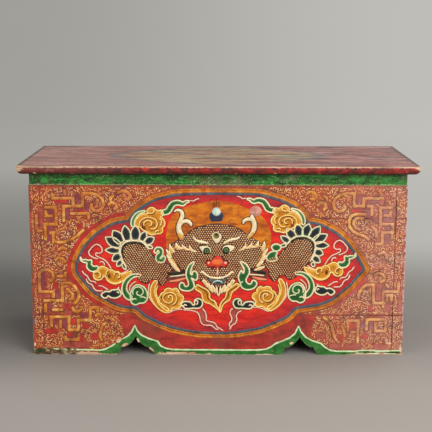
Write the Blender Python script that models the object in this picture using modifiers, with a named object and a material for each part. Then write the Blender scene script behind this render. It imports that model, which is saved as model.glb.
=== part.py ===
"""Painted altar chest: grooved corner posts, tongued boards, half-lapped top rails and a hinged board lid.

Metres, +Z up, front towards -Y. The origin is on the floor, under the middle of the lid.
"""

import math

import bmesh
import bpy
from mathutils import Matrix, Vector

# Clearances
FIT_GAP = 0.0003
CUT_MARGIN = 0.002

# Overall sizes
BODY_WIDTH = 0.900
BODY_DEPTH = 0.350
BODY_HEIGHT = 0.419

# Corner posts
POST_WIDTH = 0.026
POST_DEPTH = 0.032

# Walls
FRONT_THICKNESS = 0.018
END_THICKNESS = 0.016
BACK_THICKNESS = 0.014
APRON_HEIGHT = 0.101
FRONT_MIDDLE_HEIGHT = 0.239
END_LOWER_HEIGHT = 0.215
BACK_LOWER_HEIGHT = 0.190
TONGUE_LENGTH = 0.008
FRONT_TONGUE = 0.008
END_TONGUE = 0.006
BACK_TONGUE = 0.006

# Cusped notches in the lower edge of the apron
NOTCH_FROM_SIDE = 0.250
NOTCH_HEIGHT = 0.046
NOTCH_HALF_WIDTH = 0.051
NOTCH_CUSP_X = 0.034
NOTCH_CUSP_HEIGHT = 0.019
NOTCH_FALL = 2.2
NOTCH_STEPS = 6

# Bottom boards, housed in grooves of the walls, with battens under them
BOTTOM_HEIGHT = 0.062
BOTTOM_THICKNESS = 0.012
BOTTOM_HOUSING = 0.006
BOTTOM_BOARDS = ("bottom_board_front", "bottom_board_middle", "bottom_board_rear")
BOTTOM_BATTEN_FROM_SIDE = 0.160
BOTTOM_BATTEN_THICKNESS = 0.012
BOTTOM_BATTEN_MARGIN = 0.012
BOTTOM_KEY_HEIGHT = 0.005

# Top rails, half-lapped at the corners and pegged to the posts
RAIL_HEIGHT = 0.028
RAIL_THICKNESS = 0.024
RAIL_INSET = 0.002
PEG_RADIUS = 0.004
PEG_DEPTH = 0.030
PEG_FROM_SIDE = 0.012
PEG_FROM_FACE = 0.017

# Lid
LID_THICKNESS = 0.020
LID_SIDE_OVERHANG = 0.024
LID_FRONT_OVERHANG = 0.024
LID_REAR_OVERHANG = 0.022
LID_FRONT_BOARD = 0.230
OVOLO_RADIUS = 0.015
OVOLO_SEGMENTS = 5
LID_BATTEN_FROM_SIDE = 0.250
LID_BATTEN_THICKNESS = 0.016
LID_BATTEN_MARGIN = 0.008
LID_KEY_HEIGHT = 0.007

# Dovetailed battens
BATTEN_WIDTH = 0.040
KEY_NECK = 0.018
KEY_HEAD = 0.026

# Wooden dowels and pins
DOWEL_RADIUS = 0.004
DOWEL_LENGTH = 0.040
FRONT_DOWEL_FROM_SIDE = 0.190
LID_DOWEL_FROM_SIDE = 0.090
PIN_RADIUS = 0.0025
PIN_END_WALL = 0.0035
ROUND_SEGMENTS = 12

# Iron hinges behind the back rail, under the lid's rear overhang
HINGE_FROM_SIDE = 0.140
LEAF_WIDTH = 0.060
LEAF_THICKNESS = 0.002
LID_LEAF_REACH = 0.016
BODY_LEAF_REACH = 0.019
KNUCKLE_RADIUS = 0.004
KNUCKLE_MIDDLE = 0.022
KNUCKLE_GAP = 0.0005
KNUCKLE_SEGMENTS = 16
HINGE_PIN_RADIUS = 0.002
HINGE_PIN_PROUD = 0.002
NAIL_SPACING = 0.044
NAIL_HEAD_RADIUS = 0.0032
NAIL_SHANK_RADIUS = 0.0013
NAIL_HEAD_DEPTH = 0.0016
NAIL_LENGTH = 0.014
NAIL_POINT = 0.003
LID_NAIL_REACH = 0.0105
BODY_NAIL_REACH = 0.0125

# Places worked out from the sizes above
LID_DEPTH = LID_FRONT_OVERHANG + BODY_DEPTH + LID_REAR_OVERHANG
LID_FRONT_Y = -LID_DEPTH / 2
LID_REAR_Y = LID_DEPTH / 2
LID_SEAM_Y = LID_FRONT_Y + LID_FRONT_BOARD
FRONT_Y = LID_FRONT_Y + LID_FRONT_OVERHANG
BACK_Y = LID_REAR_Y - LID_REAR_OVERHANG
SIDE_X = BODY_WIDTH / 2
POST_INNER_X = SIDE_X - POST_WIDTH
RAIL_BOTTOM = BODY_HEIGHT + FIT_GAP
RAIL_TOP = RAIL_BOTTOM + RAIL_HEIGHT
LID_BOTTOM = RAIL_TOP + FIT_GAP
LID_TOP = LID_BOTTOM + LID_THICKNESS
RAIL_BACK_Y = BACK_Y - RAIL_INSET
HINGE_Y = RAIL_BACK_Y + FIT_GAP + KNUCKLE_RADIUS
HINGE_Z = LID_BOTTOM - FIT_GAP - KNUCKLE_RADIUS
APRON_TOP = APRON_HEIGHT
MIDDLE_TOP = APRON_HEIGHT + FRONT_MIDDLE_HEIGHT
BOTTOM_TOP = BOTTOM_HEIGHT + BOTTOM_THICKNESS

RED_PAINT = (0.42, 0.07, 0.04)
GREEN_PAINT = (0.03, 0.22, 0.06)
LID_PAINT = (0.30, 0.09, 0.08)
BARE_WOOD = (0.33, 0.20, 0.10)
IRON = (0.06, 0.05, 0.05)


def clear_scene():
    for old in list(bpy.data.objects):
        bpy.data.objects.remove(old, do_unlink=True)


def new_collection(name):
    made = bpy.data.collections.new(name)
    bpy.context.scene.collection.children.link(made)
    return made


def new_material(name, colour, roughness, metallic=0.0):
    made = bpy.data.materials.new(name)
    made.use_nodes = True
    shader = made.node_tree.nodes["Principled BSDF"]
    shader.inputs["Base Color"].default_value = (*colour, 1.0)
    shader.inputs["Roughness"].default_value = roughness
    shader.inputs["Metallic"].default_value = metallic
    made.diffuse_color = (*colour, 1.0)
    return made


clear_scene()
PARTS = new_collection("altar_chest")
CUTTERS = new_collection("altar_chest_cutters")
CARCASS_PAINT = new_material("carcass_paint", RED_PAINT, 0.6)
RAIL_PAINT = new_material("rail_paint", GREEN_PAINT, 0.55)
LID_FINISH = new_material("lid_paint", LID_PAINT, 0.6)
PLAIN_WOOD = new_material("bare_wood", BARE_WOOD, 0.8)
FORGED_IRON = new_material("forged_iron", IRON, 0.55, 0.9)


def new_frame(name, place):
    """An empty that a group of pieces hangs from, at its own reference point."""
    empty = bpy.data.objects.new(name, None)
    empty.location = place
    PARTS.objects.link(empty)
    return empty


CARCASS = new_frame("carcass_frame", (0, 0, 0))
LID = new_frame("lid_hinge_axis", (0, HINGE_Y, HINGE_Z))
bpy.context.view_layer.update()


def new_object(name, mesh, place, material=None, frame=None):
    """A part where it has a material, and otherwise a hidden cutter."""
    made = bpy.data.objects.new(name, mesh)
    made.location = place
    if material is None:
        CUTTERS.objects.link(made)
        made.hide_render = True
        made.display_type = "WIRE"
        return made
    PARTS.objects.link(made)
    mesh.materials.append(material)
    if frame is not None:
        made.parent = frame
        made.matrix_parent_inverse = frame.matrix_world.inverted()
    return made


def mesh_from(name, bm):
    mesh = bpy.data.meshes.new(name)
    bm.to_mesh(mesh)
    bm.free()
    return mesh


def span(low, high):
    """Size and middle of the box between two corners."""
    low, high = Vector(low), Vector(high)
    return high - low, (low + high) / 2


def box_mesh(size):
    bm = bmesh.new()
    bmesh.ops.create_cube(bm, size=1.0)
    bmesh.ops.scale(bm, vec=size, verts=bm.verts)
    return bm


def box(name, low, high, material=None, frame=None):
    size, middle = span(low, high)
    return new_object(name, mesh_from(name, box_mesh(size)), middle, material, frame)


def tongued_board(name, low, high, axis, tongue, material):
    """A board with a stub tongue, as thick as stated, on each end along the axis."""
    size, middle = span(low, high)
    bm = box_mesh(size)
    thin = min(range(3), key=lambda i: size[i])
    shoulder = (size[thin] - tongue) / 2
    for sign in (-1, 1):
        bm.faces.ensure_lookup_table()
        end = max(bm.faces, key=lambda f: sign * f.calc_center_median()[axis])
        bmesh.ops.inset_individual(bm, faces=[end], thickness=shoulder, use_even_offset=True)
        grown = bmesh.ops.extrude_face_region(bm, geom=[end])["geom"]
        offset = Vector((0, 0, 0))
        offset[axis] = sign * TONGUE_LENGTH
        corners = [v for v in grown if isinstance(v, bmesh.types.BMVert)]
        bmesh.ops.translate(bm, vec=offset, verts=corners)
        bmesh.ops.delete(bm, geom=[end], context="FACES_ONLY")
    bmesh.ops.recalc_face_normals(bm, faces=bm.faces)
    return new_object(name, mesh_from(name, bm), middle, material, CARCASS)


TURN_TO = {
    "X": Matrix.Rotation(math.pi / 2, 4, "Y"),
    "Y": Matrix.Rotation(math.pi / 2, 4, "X"),
    "Z": Matrix.Identity(4),
}


def rod(name, middle, radius, length, axis, material=None, frame=None, segments=ROUND_SEGMENTS):
    """A round rod along an axis, with flats towards the other two."""
    bm = bmesh.new()
    bmesh.ops.create_cone(
        bm, cap_ends=True, segments=segments, radius1=radius, radius2=radius, depth=length
    )
    half_step = Matrix.Rotation(math.pi / segments, 4, "Z")
    bmesh.ops.transform(bm, matrix=TURN_TO[axis] @ half_step, verts=bm.verts)
    mesh = mesh_from(name, bm)
    mesh.shade_smooth()
    mesh.set_sharp_from_angle(angle=math.radians(40))
    return new_object(name, mesh, middle, material, frame)


def outline_bar(name, outline, low_y, high_y, material=None, frame=None):
    """A bar along Y whose section is an outline of (x, z) points."""
    curve = bpy.data.curves.new(name, "CURVE")
    curve.dimensions = "2D"
    curve.fill_mode = "BOTH"
    curve.extrude = (high_y - low_y) / 2
    spline = curve.splines.new("POLY")
    spline.points.add(len(outline) - 1)
    for point, (x, z) in zip(spline.points, outline):
        point.co = (x, z, 0, 1)
    spline.use_cyclic_u = True
    guide = bpy.data.objects.new(name + "_outline", curve)
    guide.matrix_world = Matrix.Translation((0, (low_y + high_y) / 2, 0)) @ TURN_TO["Y"]
    CUTTERS.objects.link(guide)
    bpy.context.view_layer.update()
    graph = bpy.context.evaluated_depsgraph_get()
    mesh = bpy.data.meshes.new_from_object(guide.evaluated_get(graph))
    mesh.transform(guide.matrix_world)
    bpy.data.objects.remove(guide, do_unlink=True)
    bm = bmesh.new()
    bm.from_mesh(mesh)
    bmesh.ops.remove_doubles(bm, verts=bm.verts, dist=1e-6)
    bmesh.ops.recalc_face_normals(bm, faces=bm.faces)
    bm.to_mesh(mesh)
    bm.free()
    mesh.materials.clear()
    return new_object(name, mesh, (0, 0, 0), material, frame)


def apply_boolean(target, other, operation):
    step = target.modifiers.new(f"{operation.lower()}_{other.name}", "BOOLEAN")
    step.operation = operation
    step.object = other


def cut(cutter, *targets):
    for target in targets:
        apply_boolean(target, cutter, "DIFFERENCE")


def join(target, *others):
    for other in others:
        apply_boolean(target, other, "UNION")


def corners():
    """Name, sides and outer corner of each post."""
    for row, sign_y, face_y in (("front", -1, FRONT_Y), ("rear", 1, BACK_Y)):
        for side, sign_x in (("left", -1), ("right", 1)):
            yield row, side, sign_x, sign_y, face_y


def ordered(a, b):
    return (a, b) if a < b else (b, a)


def make_post(row, side, sign_x, sign_y, face_y):
    """A corner post with one groove for the front or back boards and one for the end boards."""
    inner_y = face_y - sign_y * POST_DEPTH
    x_low, x_high = ordered(sign_x * SIDE_X, sign_x * POST_INNER_X)
    y_low, y_high = ordered(face_y, inner_y)
    low, high = (x_low, y_low, 0), (x_high, y_high, BODY_HEIGHT)
    post = box(f"post_{row}_{side}", low, high, CARCASS_PAINT, CARCASS)

    wall, tongue = {
        "front": (FRONT_THICKNESS, FRONT_TONGUE),
        "rear": (BACK_THICKNESS, BACK_TONGUE),
    }[row]
    groove_y = face_y - sign_y * wall / 2
    half = tongue / 2 + FIT_GAP
    x_low, x_high = ordered(
        sign_x * (POST_INNER_X + TONGUE_LENGTH + FIT_GAP), sign_x * (POST_INNER_X - CUT_MARGIN)
    )
    low = (x_low, groove_y - half, -CUT_MARGIN)
    high = (x_high, groove_y + half, BODY_HEIGHT + CUT_MARGIN)
    cut(box(f"groove_{row}_{side}", low, high), post)

    groove_x = sign_x * (SIDE_X - END_THICKNESS / 2)
    half = END_TONGUE / 2 + FIT_GAP
    y_low, y_high = ordered(
        inner_y + sign_y * (TONGUE_LENGTH + FIT_GAP), inner_y - sign_y * CUT_MARGIN
    )
    low = (groove_x - half, y_low, -CUT_MARGIN)
    high = (groove_x + half, y_high, BODY_HEIGHT + CUT_MARGIN)
    cut(box(f"end_groove_{row}_{side}", low, high), post)
    return post


def stacked(heights, names):
    """Name, bottom and top of each board of a wall, one on another with a hairline gap."""
    bottom = 0.0
    for name, top in zip(names, heights):
        yield name, bottom, top
        bottom = top + FIT_GAP


def make_wall(names, tops, face_y, sign_y, thickness, tongue, material):
    """Front or back boards, whose tongues sit in the posts' grooves."""
    half = POST_INNER_X - FIT_GAP
    y_low, y_high = ordered(face_y, face_y - sign_y * thickness)
    return [
        tongued_board(name, (-half, y_low, low), (half, y_high, high), 0, tongue, material)
        for name, low, high in stacked(tops, names)
    ]


def make_end(side, sign_x):
    """The boards of one end, between a front post and a rear post."""
    names = (f"{side}_end_board_lower", f"{side}_end_board_upper")
    x_low, x_high = ordered(sign_x * SIDE_X, sign_x * (SIDE_X - END_THICKNESS))
    y_low = FRONT_Y + POST_DEPTH + FIT_GAP
    y_high = BACK_Y - POST_DEPTH - FIT_GAP
    return [
        tongued_board(name, (x_low, y_low, low), (x_high, y_high, high), 1, END_TONGUE, CARCASS_PAINT)
        for name, low, high in stacked((END_LOWER_HEIGHT, BODY_HEIGHT), names)
    ]


def bulge(start, end, steps):
    """Points of a wood bulge that falls steeply from start and levels out at end."""
    (x0, z0), (x1, z1) = start, end
    for i in range(steps):
        s = i / steps
        yield x0 + (x1 - x0) * s, z0 + (z1 - z0) * (1 - (1 - s) ** NOTCH_FALL)


def notch_outline(middle_x):
    """A pointed notch with two bulges on each side, open to the floor."""
    cusp = (NOTCH_CUSP_X, NOTCH_CUSP_HEIGHT)
    foot = (NOTCH_HALF_WIDTH, 0.0)
    half = [*bulge((0.0, NOTCH_HEIGHT), cusp, NOTCH_STEPS), *bulge(cusp, foot, NOTCH_STEPS), foot]
    half.append((NOTCH_HALF_WIDTH, -CUT_MARGIN))
    right = [(middle_x + x, z) for x, z in half]
    left = [(middle_x - x, z) for x, z in reversed(half[1:])]
    return right + left


def make_bottom(walls):
    """Three bottom boards in grooves of the four walls, notched round the posts."""
    front_inner = FRONT_Y + FRONT_THICKNESS
    back_inner = BACK_Y - BACK_THICKNESS
    x_reach = SIDE_X - END_THICKNESS + BOTTOM_HOUSING
    y_low, y_high = front_inner - BOTTOM_HOUSING, back_inner + BOTTOM_HOUSING

    low = (-x_reach, y_low, BOTTOM_HEIGHT - FIT_GAP)
    high = (x_reach, y_high, BOTTOM_TOP + FIT_GAP)
    housing = box("bottom_housing", low, high)
    cut(housing, *walls)

    first, last = y_low + FIT_GAP, y_high - FIT_GAP
    pitch = (last - first + FIT_GAP) / len(BOTTOM_BOARDS)
    boards = []
    for i, name in enumerate(BOTTOM_BOARDS):
        start = first + i * pitch
        low = (-x_reach + FIT_GAP, start, BOTTOM_HEIGHT)
        high = (x_reach - FIT_GAP, start + pitch - FIT_GAP, BOTTOM_TOP)
        boards.append(box(name, low, high, PLAIN_WOOD, CARCASS))
    for row, side, sign_x, sign_y, face_y in corners():
        x_low, x_high = ordered(sign_x * (SIDE_X + CUT_MARGIN), sign_x * (POST_INNER_X - FIT_GAP))
        y_a, y_b = ordered(face_y + sign_y * CUT_MARGIN, face_y - sign_y * (POST_DEPTH + FIT_GAP))
        low = (x_low, y_a, BOTTOM_HEIGHT - CUT_MARGIN)
        high = (x_high, y_b, BOTTOM_TOP + CUT_MARGIN)
        cut(box(f"post_room_{row}_{side}", low, high), boards[0 if row == "front" else -1])
    return boards


def key_outline(middle_x, face_z, up, grow, root):
    """Dovetail section that widens from the face it enters; root is how far it starts short of it."""
    neck, head = KEY_NECK / 2 + grow, KEY_HEAD / 2 + grow
    top = face_z + up + grow
    return [
        (middle_x - neck, face_z - root),
        (middle_x + neck, face_z - root),
        (middle_x + neck, face_z),
        (middle_x + head, top),
        (middle_x - head, top),
        (middle_x - neck, face_z),
    ]


def make_batten(name, middle_x, face_z, thickness, key_height, y_low, y_high, boards, frame):
    """A batten under some boards, held by a dovetailed key along its top."""
    groove = key_outline(middle_x, face_z, key_height, FIT_GAP, CUT_MARGIN)
    cut(outline_bar(name + "_groove", groove, y_low - FIT_GAP, y_high + FIT_GAP), *boards)
    seat = face_z - FIT_GAP
    half = BATTEN_WIDTH / 2
    low_edge = [(middle_x - half, seat - thickness), (middle_x + half, seat - thickness)]
    key = key_outline(middle_x, face_z, key_height, 0.0, FIT_GAP)
    section = [*low_edge, (middle_x + half, seat), *key[1:], key[0], (middle_x - half, seat)]
    return outline_bar(name, section, y_low, y_high, PLAIN_WOOD, frame)


def make_rails():
    """Four top rails: the front and back ones lie under the end ones at the half-laps."""
    x_out = SIDE_X - RAIL_INSET
    x_in = x_out - RAIL_THICKNESS
    y_out = {"front": FRONT_Y + RAIL_INSET, "rear": RAIL_BACK_Y}
    y_in = {"front": y_out["front"] + RAIL_THICKNESS, "rear": y_out["rear"] - RAIL_THICKNESS}
    lap = RAIL_BOTTOM + RAIL_HEIGHT / 2
    rails = {}
    for row, name in (("front", "rail_front"), ("rear", "rail_back")):
        y_low, y_high = ordered(y_out[row], y_in[row])
        low, high = (-x_out, y_low, RAIL_BOTTOM), (x_out, y_high, RAIL_TOP)
        rails[row] = box(name, low, high, RAIL_PAINT, CARCASS)
    for side, sign in (("left", -1), ("right", 1)):
        x_low, x_high = ordered(sign * x_out, sign * x_in)
        low = (x_low, y_out["front"], RAIL_BOTTOM)
        high = (x_high, y_out["rear"], RAIL_TOP)
        rails[side] = box(f"rail_{side}", low, high, RAIL_PAINT, CARCASS)
    for row, side, sign_x, sign_y, _ in corners():
        x_low, x_high = ordered(sign_x * (x_out + CUT_MARGIN), sign_x * (x_in - FIT_GAP))
        y_low, y_high = ordered(
            y_out[row] + sign_y * CUT_MARGIN, y_in[row] - sign_y * FIT_GAP
        )
        upper = box(
            f"lap_upper_{row}_{side}",
            (x_low, y_low, lap),
            (x_high, y_high, RAIL_TOP + CUT_MARGIN),
        )
        lower = box(
            f"lap_lower_{row}_{side}",
            (x_low, y_low, RAIL_BOTTOM - CUT_MARGIN),
            (x_high, y_high, lap + FIT_GAP),
        )
        cut(upper, rails[row])
        cut(lower, rails[side])
    return rails


def make_pegs(posts, rails):
    """A peg through each half-lap into its post."""
    for row, side, sign_x, sign_y, face_y in corners():
        x = sign_x * (SIDE_X - PEG_FROM_SIDE)
        y = face_y - sign_y * PEG_FROM_FACE
        low = BODY_HEIGHT - PEG_DEPTH
        middle = Vector((x, y, (low + RAIL_TOP) / 2))
        length = RAIL_TOP - low
        rod(f"rail_peg_{row}_{side}", middle, PEG_RADIUS, length, "Z", PLAIN_WOOD, CARCASS)
        top = RAIL_TOP + CUT_MARGIN
        bottom = low - FIT_GAP
        hole = rod(
            f"peg_hole_{row}_{side}",
            (x, y, (top + bottom) / 2),
            PEG_RADIUS + FIT_GAP,
            top - bottom,
            "Z",
        )
        cut(hole, posts[row, side], rails[row], rails[side])


def make_dowel(name, middle, axis, boards, material, frame):
    rod(name, middle, DOWEL_RADIUS, DOWEL_LENGTH, axis, material, frame)
    hole_length = DOWEL_LENGTH + 2 * FIT_GAP
    cut(rod(name + "_hole", middle, DOWEL_RADIUS + FIT_GAP, hole_length, axis), *boards)


def make_tongue_pin(name, sign_x, height, face_y, sign_y, post, board):
    """A pin from inside the post through a board's tongue, short of the outer face."""
    x = sign_x * (POST_INNER_X + TONGUE_LENGTH / 2)
    inner = face_y - sign_y * POST_DEPTH
    tip = face_y - sign_y * PIN_END_WALL
    rod(name, (x, (inner + tip) / 2, height), PIN_RADIUS, abs(inner - tip), "Y", PLAIN_WOOD, CARCASS)
    mouth = inner - sign_y * CUT_MARGIN
    end = tip + sign_y * FIT_GAP
    hole = rod(
        name + "_hole", (x, (mouth + end) / 2, height), PIN_RADIUS + FIT_GAP, abs(mouth - end), "Y"
    )
    cut(hole, post, board)


def make_lid_board(name, y_low, y_high, moulded_front):
    """A lid board whose lower edges are rounded under at the ends and, on the front one, at the front."""
    half = SIDE_X + LID_SIDE_OVERHANG
    size, middle = span((-half, y_low, LID_BOTTOM), (half, y_high, LID_TOP))
    bm = box_mesh(size)
    weights = bm.edges.layers.float.new("bevel_weight_edge")
    for edge in bm.edges:
        a, b = (v.co for v in edge.verts)
        low = a.z < 0 and b.z < 0
        at_end = a.x * b.x > 0
        at_front = a.y < 0 and b.y < 0 and not at_end
        if low and (at_end or (at_front and moulded_front)):
            edge[weights] = 1.0
    board = new_object(name, mesh_from(name, bm), middle, LID_FINISH, LID)
    round_under = board.modifiers.new("ovolo", "BEVEL")
    round_under.limit_method = "WEIGHT"
    round_under.width = OVOLO_RADIUS
    round_under.segments = OVOLO_SEGMENTS
    return board


def make_lid():
    front = make_lid_board("lid_front_board", LID_FRONT_Y, LID_SEAM_Y - FIT_GAP, True)
    rear = make_lid_board("lid_rear_board", LID_SEAM_Y, LID_REAR_Y, False)
    boards = (front, rear)
    y_low = FRONT_Y + RAIL_INSET + RAIL_THICKNESS + LID_BATTEN_MARGIN
    y_high = RAIL_BACK_Y - RAIL_THICKNESS - LID_BATTEN_MARGIN
    for side, sign in (("left", -1), ("right", 1)):
        make_batten(
            f"lid_batten_{side}",
            sign * (SIDE_X - LID_BATTEN_FROM_SIDE),
            LID_BOTTOM,
            LID_BATTEN_THICKNESS,
            LID_KEY_HEIGHT,
            y_low,
            y_high,
            boards,
            LID,
        )
    for name, step in (("left", -1), ("middle", 0), ("right", 1)):
        x = step * (SIDE_X - LID_DOWEL_FROM_SIDE)
        place = (x, LID_SEAM_Y - FIT_GAP / 2, (LID_BOTTOM + LID_TOP) / 2)
        make_dowel(f"lid_dowel_{name}", place, "Y", boards, PLAIN_WOOD, LID)
    return boards


def nail_profile(grow):
    """Half section of a flush nail: head on top, point below; it runs down the outer side."""
    return [
        (0.0, grow),
        (NAIL_HEAD_RADIUS + grow, grow),
        (NAIL_SHANK_RADIUS + grow, -NAIL_HEAD_DEPTH),
        (NAIL_SHANK_RADIUS + grow, -NAIL_LENGTH + NAIL_POINT),
        (0.0, -NAIL_LENGTH - grow),
    ]


def turned(name, profile, place, turn, material=None, frame=None):
    bm = bmesh.new()
    points = [bm.verts.new((x, 0, z)) for x, z in profile]
    for a, b in zip(points, points[1:]):
        bm.edges.new((a, b))
    made = new_object(name, mesh_from(name, bm), place, material, frame)
    made.rotation_euler = (turn, 0, 0)
    screw = made.modifiers.new("turn", "SCREW")
    screw.steps = screw.render_steps = ROUND_SEGMENTS
    screw.use_merge_vertices = True
    screw.merge_threshold = 0.00005
    return made


def make_nail(name, place, turn, leaf, wood, frame):
    turned(name, nail_profile(0.0), place, turn, FORGED_IRON, frame)
    cut(turned(name + "_hole", nail_profile(FIT_GAP), place, turn), leaf, wood)


def make_hinge(side, sign, back_rail, lid_rear_board):
    """A strap hinge: one leaf on the back rail, one under the lid's overhang, on a fixed pin."""
    middle_x = sign * (SIDE_X - HINGE_FROM_SIDE)
    half = LEAF_WIDTH / 2
    axis = (middle_x, HINGE_Y, HINGE_Z)
    knuckle_half = KNUCKLE_MIDDLE / 2

    low = (middle_x - half, HINGE_Y - KNUCKLE_RADIUS, HINGE_Z - BODY_LEAF_REACH)
    high = (middle_x + half, HINGE_Y - KNUCKLE_RADIUS + LEAF_THICKNESS, HINGE_Z)
    body_leaf = box(f"hinge_body_leaf_{side}", low, high, FORGED_IRON, CARCASS)
    low = (middle_x - half, HINGE_Y, HINGE_Z + KNUCKLE_RADIUS - LEAF_THICKNESS)
    high = (middle_x + half, HINGE_Y + LID_LEAF_REACH, HINGE_Z + KNUCKLE_RADIUS)
    lid_leaf = box(f"hinge_lid_leaf_{side}", low, high, FORGED_IRON, LID)

    outer = half - knuckle_half
    for end in (-1, 1):
        place = (middle_x + end * (knuckle_half + outer / 2), HINGE_Y, HINGE_Z)
        knuckle = rod(
            f"outer_knuckle_{side}_{end}", place, KNUCKLE_RADIUS, outer, "X", segments=KNUCKLE_SEGMENTS
        )
        room = rod(
            f"outer_room_{side}_{end}",
            place,
            KNUCKLE_RADIUS + KNUCKLE_GAP,
            outer + 2 * CUT_MARGIN,
            "X",
            segments=KNUCKLE_SEGMENTS,
        )
        room.location.x += end * (CUT_MARGIN - KNUCKLE_GAP)
        cut(room, lid_leaf)
        join(body_leaf, knuckle)
    middle = rod(
        f"middle_knuckle_{side}",
        axis,
        KNUCKLE_RADIUS,
        KNUCKLE_MIDDLE - 2 * KNUCKLE_GAP,
        "X",
        segments=KNUCKLE_SEGMENTS,
    )
    room = rod(
        f"middle_room_{side}",
        axis,
        KNUCKLE_RADIUS + KNUCKLE_GAP,
        KNUCKLE_MIDDLE,
        "X",
        segments=KNUCKLE_SEGMENTS,
    )
    cut(room, body_leaf)
    join(lid_leaf, middle)

    pin_length = LEAF_WIDTH + 2 * HINGE_PIN_PROUD
    rod(f"hinge_pin_{side}", axis, HINGE_PIN_RADIUS, pin_length, "X", FORGED_IRON, CARCASS)
    bore_length = pin_length + 2 * CUT_MARGIN
    bore = rod(f"hinge_bore_{side}", axis, HINGE_PIN_RADIUS + FIT_GAP, bore_length, "X")
    cut(bore, body_leaf, lid_leaf)

    lid_nail_z = HINGE_Z + KNUCKLE_RADIUS - LEAF_THICKNESS
    body_nail_y = HINGE_Y - KNUCKLE_RADIUS + LEAF_THICKNESS
    for end, word in ((-1, "a"), (1, "b")):
        x = middle_x + end * NAIL_SPACING / 2
        place = (x, HINGE_Y + LID_NAIL_REACH, lid_nail_z)
        make_nail(f"hinge_lid_nail_{side}_{word}", place, math.pi, lid_leaf, lid_rear_board, LID)
        place = (x, body_nail_y, HINGE_Z - BODY_NAIL_REACH)
        make_nail(
            f"hinge_body_nail_{side}_{word}", place, -math.pi / 2, body_leaf, back_rail, CARCASS
        )


def build():
    posts = {(row, side): make_post(row, side, sx, sy, y) for row, side, sx, sy, y in corners()}
    front = make_wall(
        ("front_apron_board", "front_board_middle", "front_board_upper"),
        (APRON_TOP, MIDDLE_TOP, BODY_HEIGHT),
        FRONT_Y,
        -1,
        FRONT_THICKNESS,
        FRONT_TONGUE,
        CARCASS_PAINT,
    )
    back = make_wall(
        ("back_board_lower", "back_board_upper"),
        (BACK_LOWER_HEIGHT, BODY_HEIGHT),
        BACK_Y,
        1,
        BACK_THICKNESS,
        BACK_TONGUE,
        PLAIN_WOOD,
    )
    ends = {side: make_end(side, sign) for side, sign in (("left", -1), ("right", 1))}
    apron, middle, upper = front

    for side, sign in (("left", -1), ("right", 1)):
        outline = notch_outline(sign * (SIDE_X - NOTCH_FROM_SIDE))
        low_y, high_y = FRONT_Y - CUT_MARGIN, FRONT_Y + FRONT_THICKNESS + CUT_MARGIN
        cut(outline_bar(f"notch_{side}", outline, low_y, high_y), apron)

    bottom = make_bottom([apron, back[0], ends["left"][0], ends["right"][0]])
    y_low = FRONT_Y + FRONT_THICKNESS + BOTTOM_BATTEN_MARGIN
    y_high = BACK_Y - BACK_THICKNESS - BOTTOM_BATTEN_MARGIN
    for side, sign in (("left", -1), ("right", 1)):
        make_batten(
            f"bottom_batten_{side}",
            sign * (SIDE_X - BOTTOM_BATTEN_FROM_SIDE),
            BOTTOM_HEIGHT,
            BOTTOM_BATTEN_THICKNESS,
            BOTTOM_KEY_HEIGHT,
            y_low,
            y_high,
            bottom,
            CARCASS,
        )

    rails = make_rails()
    make_pegs(posts, rails)

    dowel_y = FRONT_Y + FRONT_THICKNESS / 2
    for side, sign in (("left", -1), ("right", 1)):
        for level, seam, pair in (
            ("lower", APRON_TOP, (apron, middle)),
            ("upper", MIDDLE_TOP, (middle, upper)),
        ):
            place = (sign * (SIDE_X - FRONT_DOWEL_FROM_SIDE), dowel_y, seam + FIT_GAP / 2)
            make_dowel(f"front_dowel_{level}_{side}", place, "Z", pair, PLAIN_WOOD, CARCASS)
        front_post, rear_post = posts["front", side], posts["rear", side]
        low_pin = APRON_HEIGHT / 2
        high_pin = (APRON_TOP + MIDDLE_TOP) / 2
        back_pin = BACK_LOWER_HEIGHT / 2
        make_tongue_pin(f"tongue_pin_apron_{side}", sign, low_pin, FRONT_Y, -1, front_post, apron)
        make_tongue_pin(f"tongue_pin_front_{side}", sign, high_pin, FRONT_Y, -1, front_post, middle)
        make_tongue_pin(f"tongue_pin_back_{side}", sign, back_pin, BACK_Y, 1, rear_post, back[0])

    _, lid_rear = make_lid()
    for side, sign in (("left", -1), ("right", 1)):
        make_hinge(side, sign, rails["rear"], lid_rear)


build()
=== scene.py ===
import bpy
import bmesh
import math
import random
import numpy as np
from functools import partial
from mathutils import Matrix, Vector
from mathutils.geometry import delaunay_2d_cdt


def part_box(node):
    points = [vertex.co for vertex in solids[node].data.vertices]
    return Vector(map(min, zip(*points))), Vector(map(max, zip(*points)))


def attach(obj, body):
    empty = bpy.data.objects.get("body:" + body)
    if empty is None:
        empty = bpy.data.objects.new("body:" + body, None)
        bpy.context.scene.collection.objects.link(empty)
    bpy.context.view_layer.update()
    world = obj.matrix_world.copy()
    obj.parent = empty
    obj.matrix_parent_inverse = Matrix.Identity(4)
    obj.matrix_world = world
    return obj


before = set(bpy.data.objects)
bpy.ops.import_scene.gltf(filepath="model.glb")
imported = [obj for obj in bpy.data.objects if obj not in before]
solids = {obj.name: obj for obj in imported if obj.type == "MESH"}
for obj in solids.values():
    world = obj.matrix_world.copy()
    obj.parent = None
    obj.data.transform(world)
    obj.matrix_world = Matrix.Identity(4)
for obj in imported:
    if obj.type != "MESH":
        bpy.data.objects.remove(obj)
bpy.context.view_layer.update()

scene = bpy.context.scene
scene.view_settings.view_transform = "Standard"
mm = 0.001
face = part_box("front_board_middle")[0].y  # plane of the painted front
seams = {"posts": 424, "joints": (101, 340)}  # where the front boards meet, in millimetres
print("frame loaded:", len(solids), "solids")


# Camera: the photograph's own place and angle
view = {
    "place": (0.0009, -2.513, 0.799), "lens": 83.33, "sensor": 36.0, "farthest": 50.0,
    "pitch": 10.97, "yaw": 0.14, "roll": -0.09,
}


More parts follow.
